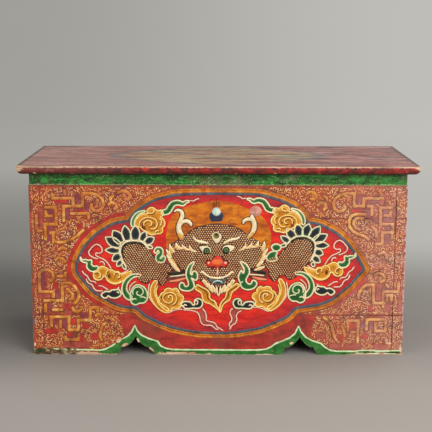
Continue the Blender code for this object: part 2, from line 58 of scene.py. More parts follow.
def setCamera():
    eye = bpy.data.cameras.new("photoView")
    eye.lens = view["lens"]
    eye.sensor_width = view["sensor"]
    eye.clip_end = view["farthest"]
    holder = bpy.data.objects.new("photoView", eye)
    scene.collection.objects.link(holder)
    turn = Matrix.Rotation(math.radians(view["yaw"]), 4, "Z")
    turn = turn @ Matrix.Rotation(-math.radians(view["pitch"]), 4, "X")
    turn = turn @ Matrix.Rotation(math.radians(view["roll"]), 4, "Y")
    turn = turn @ Matrix.Rotation(math.pi / 2, 4, "X")
    holder.matrix_world = Matrix.Translation(view["place"]) @ turn
    scene.camera = holder


# Three values are a colour as it looks on a screen, 0 to 255; four are a colour ready to mix
def tinted(value):
    if not isinstance(value, tuple) or len(value) == 4:
        return value
    shares = [part / 255 for part in value]
    opened = [v / 12.92 if v <= 0.04045 else ((v + 0.055) / 1.055) ** 2.4 for v in shares]
    return (*opened, 1.0)


def treeOf(*values):
    return next(value.id_data for value in values if isinstance(value, bpy.types.NodeSocket))


def addNode(tree, kind, sockets=None, **settings):
    made = tree.nodes.new(kind)
    for key, value in settings.items():
        setattr(made, key, value)
    for socket, value in (sockets or {}).items():
        if isinstance(value, bpy.types.NodeSocket):
            tree.links.new(value, made.inputs[socket])
        else:
            made.inputs[socket].default_value = value
    return made


def noise(place, scale, detail=4.0, warp=0.0, along=None):
    tree = treeOf(place)
    if along:  # drawn out along the grain or the brush
        place = addNode(tree, "ShaderNodeMapping", {"Vector": place, "Scale": along}).outputs["Vector"]
    sockets = {"Vector": place, "Scale": scale, "Detail": detail, "Roughness": 0.6, "Distortion": warp}
    return addNode(tree, "ShaderNodeTexNoise", sockets).outputs["Fac"]


def drawnOut(axis, across, along):
    scales = [across] * 3
    scales[axis] = along
    return scales


def ramp(factor, spots, tones):
    made = addNode(treeOf(factor), "ShaderNodeValToRGB", {"Fac": factor})
    marks = made.color_ramp.elements
    marks.remove(marks[1])
    marks[0].position = spots[0]
    marks[0].color = tinted(tones[0])
    for spot, tone in zip(spots[1:], tones[1:]):
        marks.new(spot).color = tinted(tone)
    return made.outputs["Color"]


def mix(factor, first, second, mode="MIX"):
    sockets = {0: factor, 6: tinted(first), 7: tinted(second)}
    tree = treeOf(factor, first, second)
    return addNode(tree, "ShaderNodeMix", sockets, data_type="RGBA", blend_type=mode).outputs[2]


def calc(operation, first, second=0.0):
    sockets = {0: first, 1: second}
    return addNode(treeOf(first, second), "ShaderNodeMath", sockets, operation=operation).outputs[0]


plus, minus, times = partial(calc, "ADD"), partial(calc, "SUBTRACT"), partial(calc, "MULTIPLY")
larger, smaller = partial(calc, "MAXIMUM"), partial(calc, "MINIMUM")
isOver, isUnder = partial(calc, "GREATER_THAN"), partial(calc, "LESS_THAN")
shareOf, power, sizeOf = partial(calc, "DIVIDE"), partial(calc, "POWER"), partial(calc, "ABSOLUTE")


def rise(value, low, high, bottom=0.0, top=1.0):
    sockets = {0: value, 1: low, 2: high, 3: bottom, 4: top}
    return addNode(treeOf(value), "ShaderNodeMapRange", sockets, interpolation_type="SMOOTHSTEP").outputs[0]


def ragged(place, scale, detail, width):
    return times(minus(noise(place, scale, detail), 0.5), width)


def axes(place):
    parts = addNode(treeOf(place), "ShaderNodeSeparateXYZ", {"Vector": place}).outputs
    return parts["X"], parts["Y"], parts["Z"]


def marked(place, name):
    return addNode(treeOf(place), "ShaderNodeAttribute", None, attribute_name=name).outputs["Fac"]


def startFinish(name):
    finish = bpy.data.materials.new(name)
    finish.use_nodes = True
    return finish, addNode(finish.node_tree, "ShaderNodeTexCoord").outputs["Object"]


def endFinish(colour, roughness, height, strength, depth, gloss=0.3):
    tree = treeOf(colour)
    shader = tree.nodes["Principled BSDF"]
    shader.inputs["Specular IOR Level"].default_value = gloss
    tree.links.new(colour, shader.inputs["Base Color"])
    tree.links.new(roughness, shader.inputs["Roughness"])
    bump = addNode(tree, "ShaderNodeBump", {"Strength": strength, "Distance": depth, "Height": height})
    tree.links.new(bump.outputs["Normal"], shader.inputs["Normal"])
    return shader


oldPaint = {
    "grime": (74, 44, 34), "sheenAndDustTone": (224, 190, 178), "flake": (226, 176, 140),
    "speckle": ((0.55, 0.5, 0.48, 1), (1, 1, 1, 1)), "sheen": (0.42, 0.66), "bump": (0.35, 0.0005),
}


# Old paint over gesso: clouded tones, grime, rubbed crests and small flakes
def paintOver(place, colour, flake, grime, flakes):
    fine = noise(place, 420, 3)
    colour = mix(0.45, colour, ramp(fine, (0.3, 0.62), oldPaint["speckle"]), "MULTIPLY")
    dirt = times(rise(noise(place, 46, 6, 0.6), 0.47, 0.72), grime)
    colour = mix(dirt, colour, oldPaint["grime"])
    bare = rise(noise(place, 170, 7, 0.4), 0.74 - 0.14 * flakes, 0.77 - 0.14 * flakes)
    colour = mix(bare, colour, flake)
    roughness = rise(noise(place, 90, 4), 0.3, 0.7, *oldPaint["sheen"])
    return colour, roughness, minus(fine, times(bare, 0.8))


def paintedSheenAndDust(place, colour, amount):
    # dust, with a painted sheen of the light from the right, that pales the right hand end of the front
    dusty = rise(noise(place, 24, 5, 0.5), 0.3, 0.7, 0.4 * amount, amount)
    return mix(times(dusty, rise(axes(place)[0], 0.16, 0.44)), colour, oldPaint["sheenAndDustTone"])


def reliefPaint(name, tones, grime, flakes, side=None, middle=None, zone=None, zoneFrom=0.48, sheenAndDust=0.0,
                brush=None):
    finish, place = startFinish(name)
    cloudy = noise(place, 60, 4, 0.5, brush)
    colour = ramp(cloudy, (0.33, 0.5, 0.68), tones)
    if zone:  # broad areas that have faded another way
        faded = rise(noise(place, 10, 3, 0.5), zoneFrom, zoneFrom + 0.14, 0.0, 0.75)
        colour = mix(faded, colour, zone)
    if middle:  # a second tone washed in from the outline
        washed = plus(marked(place, "shade"), times(cloudy, 0.5))
        colour = mix(rise(washed, 0.35, 1.05), colour, ramp(cloudy, (0.33, 0.68), middle))
    if side:  # the flank of a raised line is painted darker than its crest, as painted shade, and the crest is rubbed paler
        colour = mix(rise(marked(place, "crest"), 0.35, 0.85, 1.0, 0.0), colour, side)
    # painted sheen of the light from the right, with dust, on the right hand end
    if sheenAndDust:
        colour = paintedSheenAndDust(place, colour, sheenAndDust)
    colour, roughness, height = paintOver(place, colour, oldPaint["flake"], grime, flakes)
    endFinish(colour, roughness, height, *oldPaint["bump"])
    return finish


woodTones = {
    "inside": ((104, 78, 54), (136, 104, 72), (160, 126, 90)),
    "worn": ((196, 152, 116), (222, 182, 146), (238, 206, 174)),
    "pores": ((0.5, 0.46, 0.42, 1), (1, 1, 1, 1)), "age": (66, 48, 36),
}


# Bare wood: grain, pores and age along one axis
def woodColour(place, axis, tones):
    grain = noise(place, 12, 6, 1.4, drawnOut(axis, 7.0, 0.5))
    pores = noise(place, 14, 3, along=drawnOut(axis, 60.0, 1.6))
    colour = ramp(grain, (0.32, 0.5, 0.66), woodTones[tones])
    colour = mix(0.7, colour, ramp(pores, (0.35, 0.6), woodTones["pores"]), "MULTIPLY")
    age = rise(noise(place, 9, 5, 0.5), 0.42, 0.7, 0.0, 0.5)
    return mix(age, colour, woodTones["age"]), plus(grain, pores)


def bareWood(name, axis):
    finish, place = startFinish(name)
    colour, height = woodColour(place, axis, "inside")
    endFinish(colour, rise(height, 0.6, 1.4, 0.85, 0.62), height, 0.45, 0.0008)
    return finish


groundTones = {
    "reds": ((134, 52, 38), (162, 62, 42), (182, 78, 50)), "plum": (124, 58, 56), "gold": (186, 104, 50),
    "ends": ((104, 34, 30), (132, 44, 38), (152, 60, 48)), "flake": (214, 160, 128), "sheenAndDust": 0.21,
    # the rubbed front corners: painted shade darkens the left one, painted light pales the right one
    "corners": ((112, 86, 78), (206, 172, 164)),  # left and right
    "soiled": ((68, 46, 34), (118, 92, 64), (178, 162, 124)), "hair": (54, 30, 24),
}


# Painted boards of the carcass: front ground, plain red ends, bare wood inside
def carcassFinish(name, axis):
    finish, place = startFinish(name)
    x, y, z = axes(place)
    spread = sizeOf(x)
    wood, woodHeight = woodColour(place, axis, "inside")
    pale = woodColour(place, axis, "worn")[0]
    ground = ramp(noise(place, 34, 5, 0.8), (0.34, 0.5, 0.66), groundTones["reds"])
    ground = mix(rise(noise(place, 21, 4, 0.5), 0.48, 0.62), ground, groundTones["plum"])
    specks = rise(noise(place, 300, 3, 0.8), 0.5, 0.6)
    ground = mix(times(specks, 0.7), ground, groundTones["gold"])
    # painted sheen of the light from the right, with dust, paling the right hand end of the front
    ground = paintedSheenAndDust(place, ground, groundTones["sheenAndDust"])
    endPaint = ramp(noise(place, 26, 6, 0.6, (1, 0.3, 1)), (0.34, 0.5, 0.66), groundTones["ends"])
    onFront = isUnder(y, face + 0.0004)
    onEnd = isOver(spread, 0.4496)
    colour = mix(onFront, endPaint, ground)
    colour, roughness, height = paintOver(place, colour, groundTones["flake"], 0.5, 0.55)
    # rubbed corners, painted dark on the left where shade falls and pale on the right where the light falls,
    # foot and the arch edges under the painted border
    rough = ragged(place, 130, 6, 0.03)
    corner = times(rise(plus(spread, rough), 0.4475, 0.4495), onFront)
    endEdge = rise(plus(minus(y, face), rough), 0.0005, 0.0035, 1.0, 0.0)
    corner = larger(corner, minus(endEdge, onFront))
    bareTo = rise(x, 0.31, 0.36, 0.006, 0.013)
    foot = rise(minus(minus(z, rough), bareTo), -0.002, 0.002, 1.0, 0.0)
    arch = shareOf(sizeOf(minus(spread, 0.2)), 0.088)
    arch = power(larger(minus(1.0, arch), 0.0), 1.7)
    arch = isUnder(z, plus(times(arch, 0.05), 0.006))
    cornerWearShadeAndLight = mix(isOver(x, 0.0), *groundTones["corners"])
    colour = mix(times(corner, 0.8), colour, cornerWearShadeAndLight)
    colour = mix(larger(foot, arch), colour, pale)
    soil = ramp(noise(place, 120, 6, 0.5, (0.6, 1, 1)), (0.4, 0.52, 0.64), groundTones["soiled"])
    soilSide = rise(plus(x, rough), -0.356, -0.336, 1.0, 0.0)
    soilLow = rise(minus(z, rough), 0.014, 0.019, 1.0, 0.0)
    colour = mix(times(soilSide, soilLow), colour, soil)
    # hairlines where the boards meet
    seam = sizeOf(minus(spread, seams["posts"] * mm))
    for joint in seams["joints"]:
        seam = smaller(seam, sizeOf(minus(z, joint * mm)))
    hair = times(rise(seam, 0.0006, 0.0014, 0.9, 0.0), onFront)
    broken = rise(noise(place, 14, 4), 0.4, 0.56, 0.3, 1.0)
    hair = times(hair, times(broken, rise(x, -0.1, 0.1, 0.25, 1.0)))
    colour = mix(hair, colour, groundTones["hair"])
    colour = mix(larger(onFront, onEnd), wood, colour)
    endFinish(colour, roughness, plus(height, times(woodHeight, 0.6)), 0.45, 0.0007)
    return finish


railTones = {
    "green": ((24, 60, 18), (38, 104, 32), (58, 152, 60)), "olive": (92, 92, 52), "worn": (112, 122, 92),
    "flake": (206, 190, 140), "fleck": (182, 204, 156), "shade": (30, 44, 22),
}


# Rails: brushed green, dirty and flecked, with a painted shadow of the lid along the top, bare wood where
# the chest hides them
def railFinish(name, axis):
    finish, place = startFinish(name)
    x, y, z = axes(place)
    wood, woodHeight = woodColour(place, axis, "inside")
    along = drawnOut(axis, 1.0, 0.4)
    brushed = times(noise(place, 280, 6, 0.6, along), 0.45)
    brushed = plus(brushed, times(noise(place, 62, 5, 0.6, along), 0.55))
    colour = ramp(brushed, (0.42, 0.5, 0.58), railTones["green"])
    dirty = noise(place, 26, 6, 0.5, along)
    colour = mix(rise(dirty, 0.54, 0.62, 0.0, 0.5), colour, railTones["olive"])
    dusty = plus(dirty, rise(x, 0.04, 0.3, 0.0, 0.12))
    colour = mix(rise(dusty, 0.58, 0.7, 0.0, 0.55), colour, railTones["worn"])
    flecked = plus(noise(place, 300, 2), times(dirty, 0.2))
    colour = mix(rise(flecked, 0.74, 0.8, 0.0, 0.8), colour, railTones["fleck"])
    colour, roughness, height = paintOver(place, colour, railTones["flake"], 0.5, 0.35)
    # painted shadow of the lid's overhang, darker along the top of the rail
    colour = mix(rise(z, 0.4425, 0.4455, 0.0, 0.6), colour, railTones["shade"])
    low = minus(z, ragged(place, 150, 5, 0.012))
    colour = mix(rise(low, 0.4203, 0.4226, 0.4, 0.0), colour, railTones["flake"])
    outer = larger(isUnder(y, face + 0.0028), isOver(sizeOf(x), 0.4472))
    outer = larger(outer, isOver(y, 0.1732))
    colour = mix(outer, wood, colour)
    endFinish(colour, roughness, plus(height, times(woodHeight, 0.7)), 0.45, 0.0007)
    return finish


lidTones = {
    "top": ((100, 46, 42), (158, 94, 84), (200, 146, 132)), "gloss": 0.6, "sheen": (0.3, 0.46),
    "rose": (152, 66, 66), "brown": (82, 36, 30), "bleachedAndSheen": (204, 162, 148), "flake": (206, 160, 140),
    "edge": ((88, 20, 16), (150, 27, 22), (190, 52, 38)), "edgeDull": (112, 56, 50),
    "edgeDarkAndShade": (62, 30, 27), "end": (72, 50, 42), "chip": (226, 186, 146), "line": (80, 98, 98),
    "streaks": ((88, 58, 48), (146, 92, 76), (176, 138, 86), (206, 178, 124), (114, 122, 104), (78, 90, 88)),
}


# Lid boards: pink top, faded and partly paled by a painted reflection, with a worn picture, chipped red
# edge, bare wood below
def lidFinish(name):
    finish, place = startFinish(name)
    x, y, z = axes(place)
    spread = sizeOf(x)
    low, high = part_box("lid_front_board")
    wood, woodHeight = woodColour(place, 0, "inside")
    # the top's pale pink is partly faded paint and partly a painted reflection of the pale surroundings seen
    # along the top
    top = ramp(noise(place, 6, 6, 0.8, (0.7, 5.5, 5.5)), (0.38, 0.5, 0.62), lidTones["top"])
    rosy = noise(place, 7, 5, 0.5, (0.8, 4.4, 1))
    top = mix(rise(rosy, 0.47, 0.6, 0.0, 0.65), top, lidTones["rose"])
    stained = noise(place, 11, 7, 0.5, (0.8, 4.6, 1))
    top = mix(rise(stained, 0.52, 0.58, 0.0, 0.85), top, lidTones["brown"])
    bleachedAndSheen = noise(place, 12, 7, 0.5, (0.8, 5, 1))
    top = mix(rise(bleachedAndSheen, 0.55, 0.63, 0.0, 0.6), top, lidTones["bleachedAndSheen"])
    top = mix(rise(x, -0.45, 0.15, 0.26, 0.0), top, lidTones["bleachedAndSheen"])
    # faded pointed cartouche: a washed outline around ochre and grey streaks
    across = power(shareOf(spread, 0.262), 1.25)
    deep = power(shareOf(sizeOf(minus(y, 0.005)), 0.168), 1.7)
    reach = plus(plus(across, deep), ragged(place, 26, 4, 0.22))
    streaky = noise(place, 9, 8, 0.4, (0.6, 4.4, 4.4))
    streaks = ramp(streaky, (0.38, 0.44, 0.49, 0.54, 0.58, 0.64), lidTones["streaks"])
    left = rise(noise(place, 10, 8, 0.9, (0.9, 3, 3)), 0.36, 0.5, 0.15, 0.95)
    top = mix(times(rise(reach, 0.86, 1.02, 1.0, 0.0), left), top, streaks)
    outline = rise(sizeOf(minus(reach, 1.02)), 0.03, 0.09, 0.8, 0.0)
    top = mix(times(outline, left), top, lidTones["line"])
    # the edge is dull on the left, has painted shade low down on its rounding, and is chipped
    edge = ramp(noise(place, 120, 6, 0.5, (0.45, 1, 1)), (0.38, 0.5, 0.62), lidTones["edge"])
    dulled = plus(rise(x, -0.31, -0.13, 0.36, 0.0), noise(place, 13, 6, 0.5))
    edge = mix(rise(dulled, 0.62, 0.72, 0.0, 0.75), edge, lidTones["edgeDull"])
    gone = plus(noise(place, 30, 7, 0.8, (0.7, 1, 1)), rise(spread, 0.14, 0.3, 0.045, 0.0))
    edge = mix(rise(gone, 0.55, 0.62, 0.0, 0.8), edge, lidTones["edgeDarkAndShade"])
    # painted shade on the lower rounding of the edge
    below = plus(z, times(minus(gone, 0.5), 0.012))
    below = rise(below, low.z + 0.001, low.z + 0.008, 0.75, 0.0)
    edge = mix(below, edge, lidTones["edgeDarkAndShade"])
    chipped = plus(noise(place, 62, 7, 0.8), rise(z, low.z, low.z + 0.009, 0.07, 0.0))
    chipped = plus(chipped, rise(x, -0.3, -0.2, 0.03, 0.0))
    edge = mix(rise(chipped, 0.68, 0.71), edge, lidTones["chip"])
    onTop = isOver(z, high.z - 0.0004)
    colour = mix(onTop, edge, top)
    colour, roughness, height = paintOver(place, colour, lidTones["flake"], 0.35, 0.35)
    # darker along the ends and the back, and a rubbed arris along the front
    rough = ragged(place, 110, 6, 0.008)
    down = minus(high.z, z)
    toSide = minus(high.x, spread)
    toBack = minus(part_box("lid_rear_board")[1].y, y)
    atRim = plus(larger(down, smaller(toSide, toBack)), rough)
    colour = mix(rise(atRim, 0.003, 0.012, 0.85, 0.0), colour, lidTones["end"])
    worn = plus(rise(x, -0.38, -0.22, 0.0007, 0.0), rise(x, -0.47, -0.458, 0.012, 0.0))
    worn = plus(worn, rise(x, 0.458, 0.47, 0.0, 0.006))
    arris = minus(plus(larger(down, minus(y, low.y)), rough), worn)
    colour = mix(rise(arris, 0.0018, 0.0034, 1.0, 0.0), colour, woodColour(place, 0, "worn")[0])
    colour = mix(isUnder(z, low.z + 0.0004), colour, wood)
    polished = rise(noise(place, 40, 5), 0.3, 0.7, *lidTones["sheen"])  # a top handled for years
    roughness = mix(onTop, roughness, polished)
    height = plus(height, times(woodHeight, 0.8))
    endFinish(colour, roughness, height, 0.5, 0.0008, lidTones["gloss"])
    return finish


ironTones = {"bare": ((46, 44, 44), (84, 80, 78)), "rust": (104, 60, 38), "metal": 0.6}


def ironFinish(name):
    finish, place = startFinish(name)
    rust = rise(noise(place, 120, 6, 0.5), 0.46, 0.66)
    colour = mix(rust, ramp(noise(place, 260, 4), (0.35, 0.65), ironTones["bare"]), ironTones["rust"])
    roughness = rise(rust, 0.0, 1.0, 0.45, 0.85)
    shader = endFinish(colour, roughness, noise(place, 180, 6), 0.5, 0.0006)
    shader.inputs["Metallic"].default_value = ironTones["metal"]
    return finish


# Paper of the stage, with a painted shadow low down behind the chest and on its left
stageTones = {
    "paper": (178, 176, 170), "floor": (160, 154, 147), "paintedShadow": (94, 92, 88), "fold": 0.48, "spread": 0.84,
    "left": 0.72, "right": 0.3, "air": (176, 174, 169),
    "near": ((126, 124, 118), (182, 180, 175)), "far": ((160, 158, 153), (190, 188, 183)),
}


def seenBy(tree):
    # what is looked at, straight or in a reflection, and not what only gives light
    ray = addNode(tree, "ShaderNodeLightPath").outputs
    seen = larger(ray["Is Camera Ray"], ray["Is Glossy Ray"])
    return larger(seen, ray["Is Transmission Ray"])


def stageFinish(name):
    finish, place = startFinish(name)
    x, y = axes(place)[:2]
    behind = shareOf(minus(y, stageTones["fold"]), stageTones["spread"])
    behind = rise(minus(1.0, times(behind, behind)), -0.2, 1.0)
    left = rise(x, -1.0, 1.0, stageTones["left"], stageTones["right"])
    # painted shadow of the chest, low down behind it and strongest on its left
    paintedShadow = plus(times(behind, left), rise(x, -1.6, 1.4, 0.16, 0.0))
    colour = mix(rise(y, 0.1, 1.1), stageTones["floor"], stageTones["paper"])
    colour = mix(paintedShadow, colour, stageTones["paintedShadow"])
    # far behind the object the paper glows with a painted tone, darker on the left, for what looks at it,
    # and lights nothing
    near = mix(rise(x, -0.9, 0.9), *stageTones["near"])
    far = mix(rise(x, -1.9, 1.9), *stageTones["far"])
    away = rise(calc("SQRT", plus(times(x, x), times(y, y))), 1.6, 3.4)
    tone = mix(larger(rise(y, 1.0, 3.4), away), near, far)
    tree = treeOf(place)
    glow = times(larger(rise(y, 0.4, 1.2), away), seenBy(tree))
    colour = mix(glow, colour, (0, 0, 0, 1))
    roughness = rise(noise(place, 3, 3), 0.3, 0.7, 0.85, 0.95)
    shader = endFinish(colour, roughness, noise(place, 60, 3), 0.05, 0.0005)
    tree.links.new(tone, shader.inputs["Emission Color"])
    tree.links.new(glow, shader.inputs["Emission Strength"])
    return finish


def deselect():
    if bpy.context.object and bpy.context.object.mode != "OBJECT":
        bpy.ops.object.mode_set(mode="OBJECT")
    bpy.ops.object.select_all(action="DESELECT")


def pickEdges(piece, test):
    # select the edges whose two ends both pass the test
    bpy.ops.object.mode_set(mode="EDIT")
    bpy.ops.mesh.select_mode(type="EDGE")
    bpy.ops.mesh.select_all(action="DESELECT")
    work = bmesh.from_edit_mesh(piece.data)
    for edge in work.edges:
        edge.select = all(test(vertex.co) for vertex in edge.verts)
    work.select_flush_mode()
    bmesh.update_edit_mesh(piece.data)


sweep = {
    "width": 18.0, "front": -7.0, "back": 7.0, "height": 6.0, "fold": 2.0, "segments": 24, "near": 0.01,
}


def makeStage():
    deselect()
    depth = sweep["back"] - sweep["front"]
    edge = sweep["back"] - sweep["near"]
    bpy.ops.mesh.primitive_plane_add(size=1, location=(0, sweep["front"] + depth / 2, 0))
    floor = bpy.context.active_object
    floor.name = "paperSweep"
    floor.scale = (sweep["width"], depth, 1)
    bpy.ops.object.transform_apply(location=True, rotation=True, scale=True)
    pickEdges(floor, lambda spot: spot.y > edge)
    bpy.ops.mesh.extrude_region_move(TRANSFORM_OT_translate={"value": (0, 0, sweep["height"])})
    pickEdges(floor, lambda spot: spot.y > edge and spot.z < sweep["near"])
    bpy.ops.mesh.bevel(offset=sweep["fold"], segments=sweep["segments"], affect="EDGES")
    bpy.ops.object.mode_set(mode="OBJECT")
    bpy.ops.object.shade_smooth()
    floor.data.materials.append(stageFinish("stagePaper"))


lamps = {
    "key": {"place": (1.6, -2.7, 2.0), "aim": (0, 0, 0.25), "size": 2.2, "power": 96},
    "fill": {"place": (-2.6, -2.4, 1.5), "aim": (0, 0, 0.25), "size": 2.4, "power": 34},
    "back": {"place": (1.2, 0.6, 3.3), "aim": (0, 1.4, 0.6), "size": 2.0, "power": 30},
}
worldLight = (0.5, 0.5, 0.5, 1)


def setLamps():
    for name, values in lamps.items():
        lamp = bpy.data.lights.new(name + "Lamp", "AREA")
        lamp.energy = values["power"]
        lamp.size = values["size"]
        holder = bpy.data.objects.new(name + "Lamp", lamp)
        scene.collection.objects.link(holder)
        holder.location = values["place"]
        aim = Vector(values["aim"]) - Vector(values["place"])
        holder.rotation_euler = aim.to_track_quat("-Z", "Y").to_euler()
    sky = bpy.data.worlds.new("studioAir")
    sky.use_nodes = True
    air = mix(seenBy(sky.node_tree), worldLight, stageTones["air"])
    sky.node_tree.links.new(air, sky.node_tree.nodes["Background"].inputs["Color"])
    scene.world = sky


setCamera()
makeStage()
setLamps()
print("camera, sweep and lamps set")


# Finishes of the solids, by name
def dressSolids():
    boards = {"x": carcassFinish("frontPaint", 0), "y": carcassFinish("endPaint", 1),
              "z": carcassFinish("postPaint", 2)}
    rails = {"x": railFinish("railPaintLong", 0), "y": railFinish("railPaintShort", 1)}
    plain = {axis: bareWood("agedWood" + axis.upper(), index) for index, axis in enumerate("xyz")}
    lid = lidFinish("lidPaint")
    iron = ironFinish("forgedIron")
    for name, solid in solids.items():
        if name.startswith("hinge"):
            finish = iron
        elif name in ("lid_front_board", "lid_rear_board"):
            finish = lid
        elif name.startswith("rail_peg") or "dowel" in name or "tongue_pin" in name:
            finish = plain["z"]
        elif name.startswith("rail_"):
            finish = rails["x" if name in ("rail_front", "rail_back") else "y"]
        elif name.startswith("post_"):
            finish = boards["z"]
        elif name.startswith("front_"):
            finish = boards["x"]
        elif "_end_board" in name:
            finish = boards["y"]
        elif "batten" in name:
            finish = plain["y"]
        else:
            finish = plain["x"]
        solid.data.materials.clear()
        solid.data.materials.append(finish)


dressSolids()
print("solids dressed")


# Lines and shapes are drawn in millimetres on the front: x to the right, z up
def flowing(points, radius=1.0, closed=False, step=2.5):
    knots = [Vector((*point, radius)) if len(point) == 2 else Vector(point) for point in points]
    count = len(knots)
    line = []
    for index in range(count if closed else count - 1):
        here = knots[index]
        ahead = knots[(index + 1) % count]
        before = knots[index - 1] if closed or index else here * 2 - ahead
        after = knots[(index + 2) % count] if closed or index + 2 < count else ahead * 2 - here
        parts = max(1, round((ahead.xy - here.xy).length / step))
        for part in range(parts):
            t = part / parts
            bend = (before * 2 - here * 5 + ahead * 4 - after) * t * t
            twist = (here * 3 - before - ahead * 3 + after) * t ** 3
            line.append((here * 2 + (ahead - before) * t + bend + twist) * 0.5)
    if not closed:
        line.append(knots[-1])
    return line


def ringOf(points, step=3.0):
    return [spot.xy for spot in flowing(points, 1.0, True, step)]


def straight(points, radius, step):
    # from corner to corner, without the last point
    runs = [flowing(pair, radius, False, step)[:-1] for pair in zip(points, points[1:])]
    return [spot for run in runs for spot in run]


def strokesOf(runs, step):
    return [(flowing(run, 1.0, False, step), False) for run in runs]


def outlined(rings, radius):
    return [([Vector((*spot, radius)) for spot in ring], True) for ring in rings]


piping = {"step": 2.2, "tip": 0.25}  # how far apart its points lie, and the least share of its width


def piped(points, radius, closed=False):
    # one line of gesso from a cone: even, with rounded ends
    line = flowing(points, radius, closed, piping["step"])
    if closed:
        return line, True
    first, last = line[0].xy, line[-1].xy
    for spot in line:
        room = min((spot.xy - first).length, (spot.xy - last).length)
        spot.z *= max(piping["tip"], math.sqrt(max(0.0, 1 - (1 - min(1, room / radius)) ** 2)))
    return line, False


def swelling(points):
    # closed outline of a band whose half width is each point's third value
    line = flowing(points)
    left, right = [], []
    for index, spot in enumerate(line):
        before = line[max(0, index - 1)].xy
        after = line[min(len(line) - 1, index + 1)].xy
        along = (after - before).normalized()
        side = Vector((-along.y, along.x)) * spot.z
        left.append(spot.xy + side)
        right.append(spot.xy - side)
    heading = (line[-1].xy - line[-2].xy).normalized() * line[-1].z * 0.8
    tail = (line[0].xy - line[1].xy).normalized() * line[0].z * 0.8
    return [*left, line[-1].xy + heading, *reversed(right), line[0].xy + tail]


def mirrored(points, up=0.0, over=0.0):
    return [(over - point[0], point[1] + up, *point[2:]) for point in points]


def widened(strokes, extra):
    return [([Vector((x, z, radius + extra)) for x, z, radius in line], closed) for line, closed in strokes]


petalStations = ((0.0, 0.6), (0.2, 0.88), (0.45, 1.0), (0.7, 0.8), (0.88, 0.42), (1.0, 0.05))


def petal(tip, base, half):
    tip, base = Vector(tip), Vector(base)
    along = tip - base
    side = Vector((-along.y, along.x)).normalized() * half
    left = [base + along * t + side * w for t, w in petalStations]
    right = [base + along * t - side * w for t, w in reversed(petalStations)]
    return left + right


def disc(x, z, radius, squash=1.0, count=28):
    turns = [2 * math.pi * index / count for index in range(count)]
    return [Vector((x + radius * math.cos(a), z + radius * squash * math.sin(a))) for a in turns]


def flat(line):
    return np.array([(point[0], point[1]) for point in line], float)


def insideOf(spots, ring):
    x, z = spots[:, 0], spots[:, 1]
    result = np.zeros(len(spots), bool)
    ahead = np.roll(ring, -1, axis=0)
    for (x0, z0), (x1, z1) in zip(ring, ahead):
        if z0 != z1:
            crossing = (z0 > z) != (z1 > z)
            result ^= crossing & (x < (x1 - x0) * (z - z0) / (z1 - z0) + x0)
    return result


def farFrom(spots, line, closed=True):
    # distance of each spot from a line of points
    starts = line if closed else line[:-1]
    along = (np.roll(line, -1, axis=0) if closed else line[1:]) - starts
    length = np.maximum((along ** 2).sum(1), 1e-9)
    nearest = np.full(len(spots), 1e9)
    for start, run, square in zip(starts, along, length):
        offset = spots - start
        t = np.clip((offset @ run) / square, 0, 1)
        nearest = np.minimum(nearest, np.hypot(*(offset - t[:, None] * run).T))
    return nearest


def crown(depth, lift, height, rim):
    return lift + height * np.sqrt(1 - (1 - np.clip(depth / rim, 0, 1)) ** 2)


sections = {}
# right half of each section, from the foot to the middle: out, up
sectionShapes = {
    "round": ((1, -0.35), (0.94, 0.3), (0.62, 0.78), (0, 0.98)),
    "flat": ((1, -0.1), (0.97, 0.16), (0.7, 0.3), (0, 0.36)),
    "double": ((1, -0.12), (0.96, 0.2), (0.6, 0.34), (0.22, 0.24), (0.08, 0.06)),
    "ridge": ((1, -0.15), (0.96, 0.18), (0.66, 0.4), (0, 0.46)),
    "worm": ((1, -0.35), (0.9, 0.4), (0.5, 0.72)),
    "thin": ((1, -0.2), (0.86, 0.1), (0, 0.14)),
}


def newCurve(name):
    shape = bpy.data.curves.new(name, "CURVE")
    shape.dimensions = "2D"
    shape.fill_mode = "NONE"
    return shape


def newPiece(name, data):
    piece = bpy.data.objects.new(name, data)
    scene.collection.objects.link(piece)
    return piece


def makeSections():
    for name, half in sectionShapes.items():
        corners = [*half, *[(-out, up) for out, up in reversed(half) if out]]
        shape = newCurve(name + "Section")
        run = shape.splines.new("POLY")
        run.points.add(len(corners) - 1)
        for point, (out, up) in zip(run.points, corners):
            point.co = (-out, up, 0, 1)
        run.use_cyclic_u = True
        sections[name] = newPiece(name + "Section", shape)


merging = {"doubles": 0.00001, "slivers": 0.000005, "smooth": 50, "domes": 70}


def settle(piece, finish, angle=merging["smooth"]):
    # mesh, merged, facing out, smooth, painted, and riding on its body
    deselect()
    piece.select_set(True)
    bpy.context.view_layer.objects.active = piece
    if piece.type == "CURVE":
        bpy.ops.object.convert(target="MESH")
        piece = bpy.context.view_layer.objects.active
    bpy.ops.object.transform_apply(location=True, rotation=True, scale=True)
    bpy.ops.object.mode_set(mode="EDIT")
    bpy.ops.mesh.select_all(action="SELECT")
    bpy.ops.mesh.remove_doubles(threshold=merging["doubles"])
    bpy.ops.mesh.dissolve_degenerate(threshold=merging["slivers"])
    bpy.ops.mesh.select_all(action="SELECT")
    bpy.ops.mesh.normals_make_consistent(inside=False)
    bpy.ops.object.mode_set(mode="OBJECT")
    bpy.ops.object.shade_smooth_by_angle(angle=math.radians(angle))
    mesh = piece.data
    normals = np.zeros(len(mesh.vertices) * 3, np.float32)
    mesh.vertex_normals.foreach_get("vector", normals)
    # how squarely each point faces the front; the flanks of raised lines get painted shade by it
    facing = mesh.attributes.new("crest", "FLOAT", "POINT")
    facing.data.foreach_set("value", np.clip(-normals[1::3], 0, 1))
    mesh.materials.clear()
    mesh.materials.append(finish)
    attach(piece, "carcass")
    print("laid", piece.name, len(mesh.polygons), "faces")


easing = {"closest": 0.7, "sharpest": 50, "rounds": 3, "cut": 1.2, "share": 0.33}


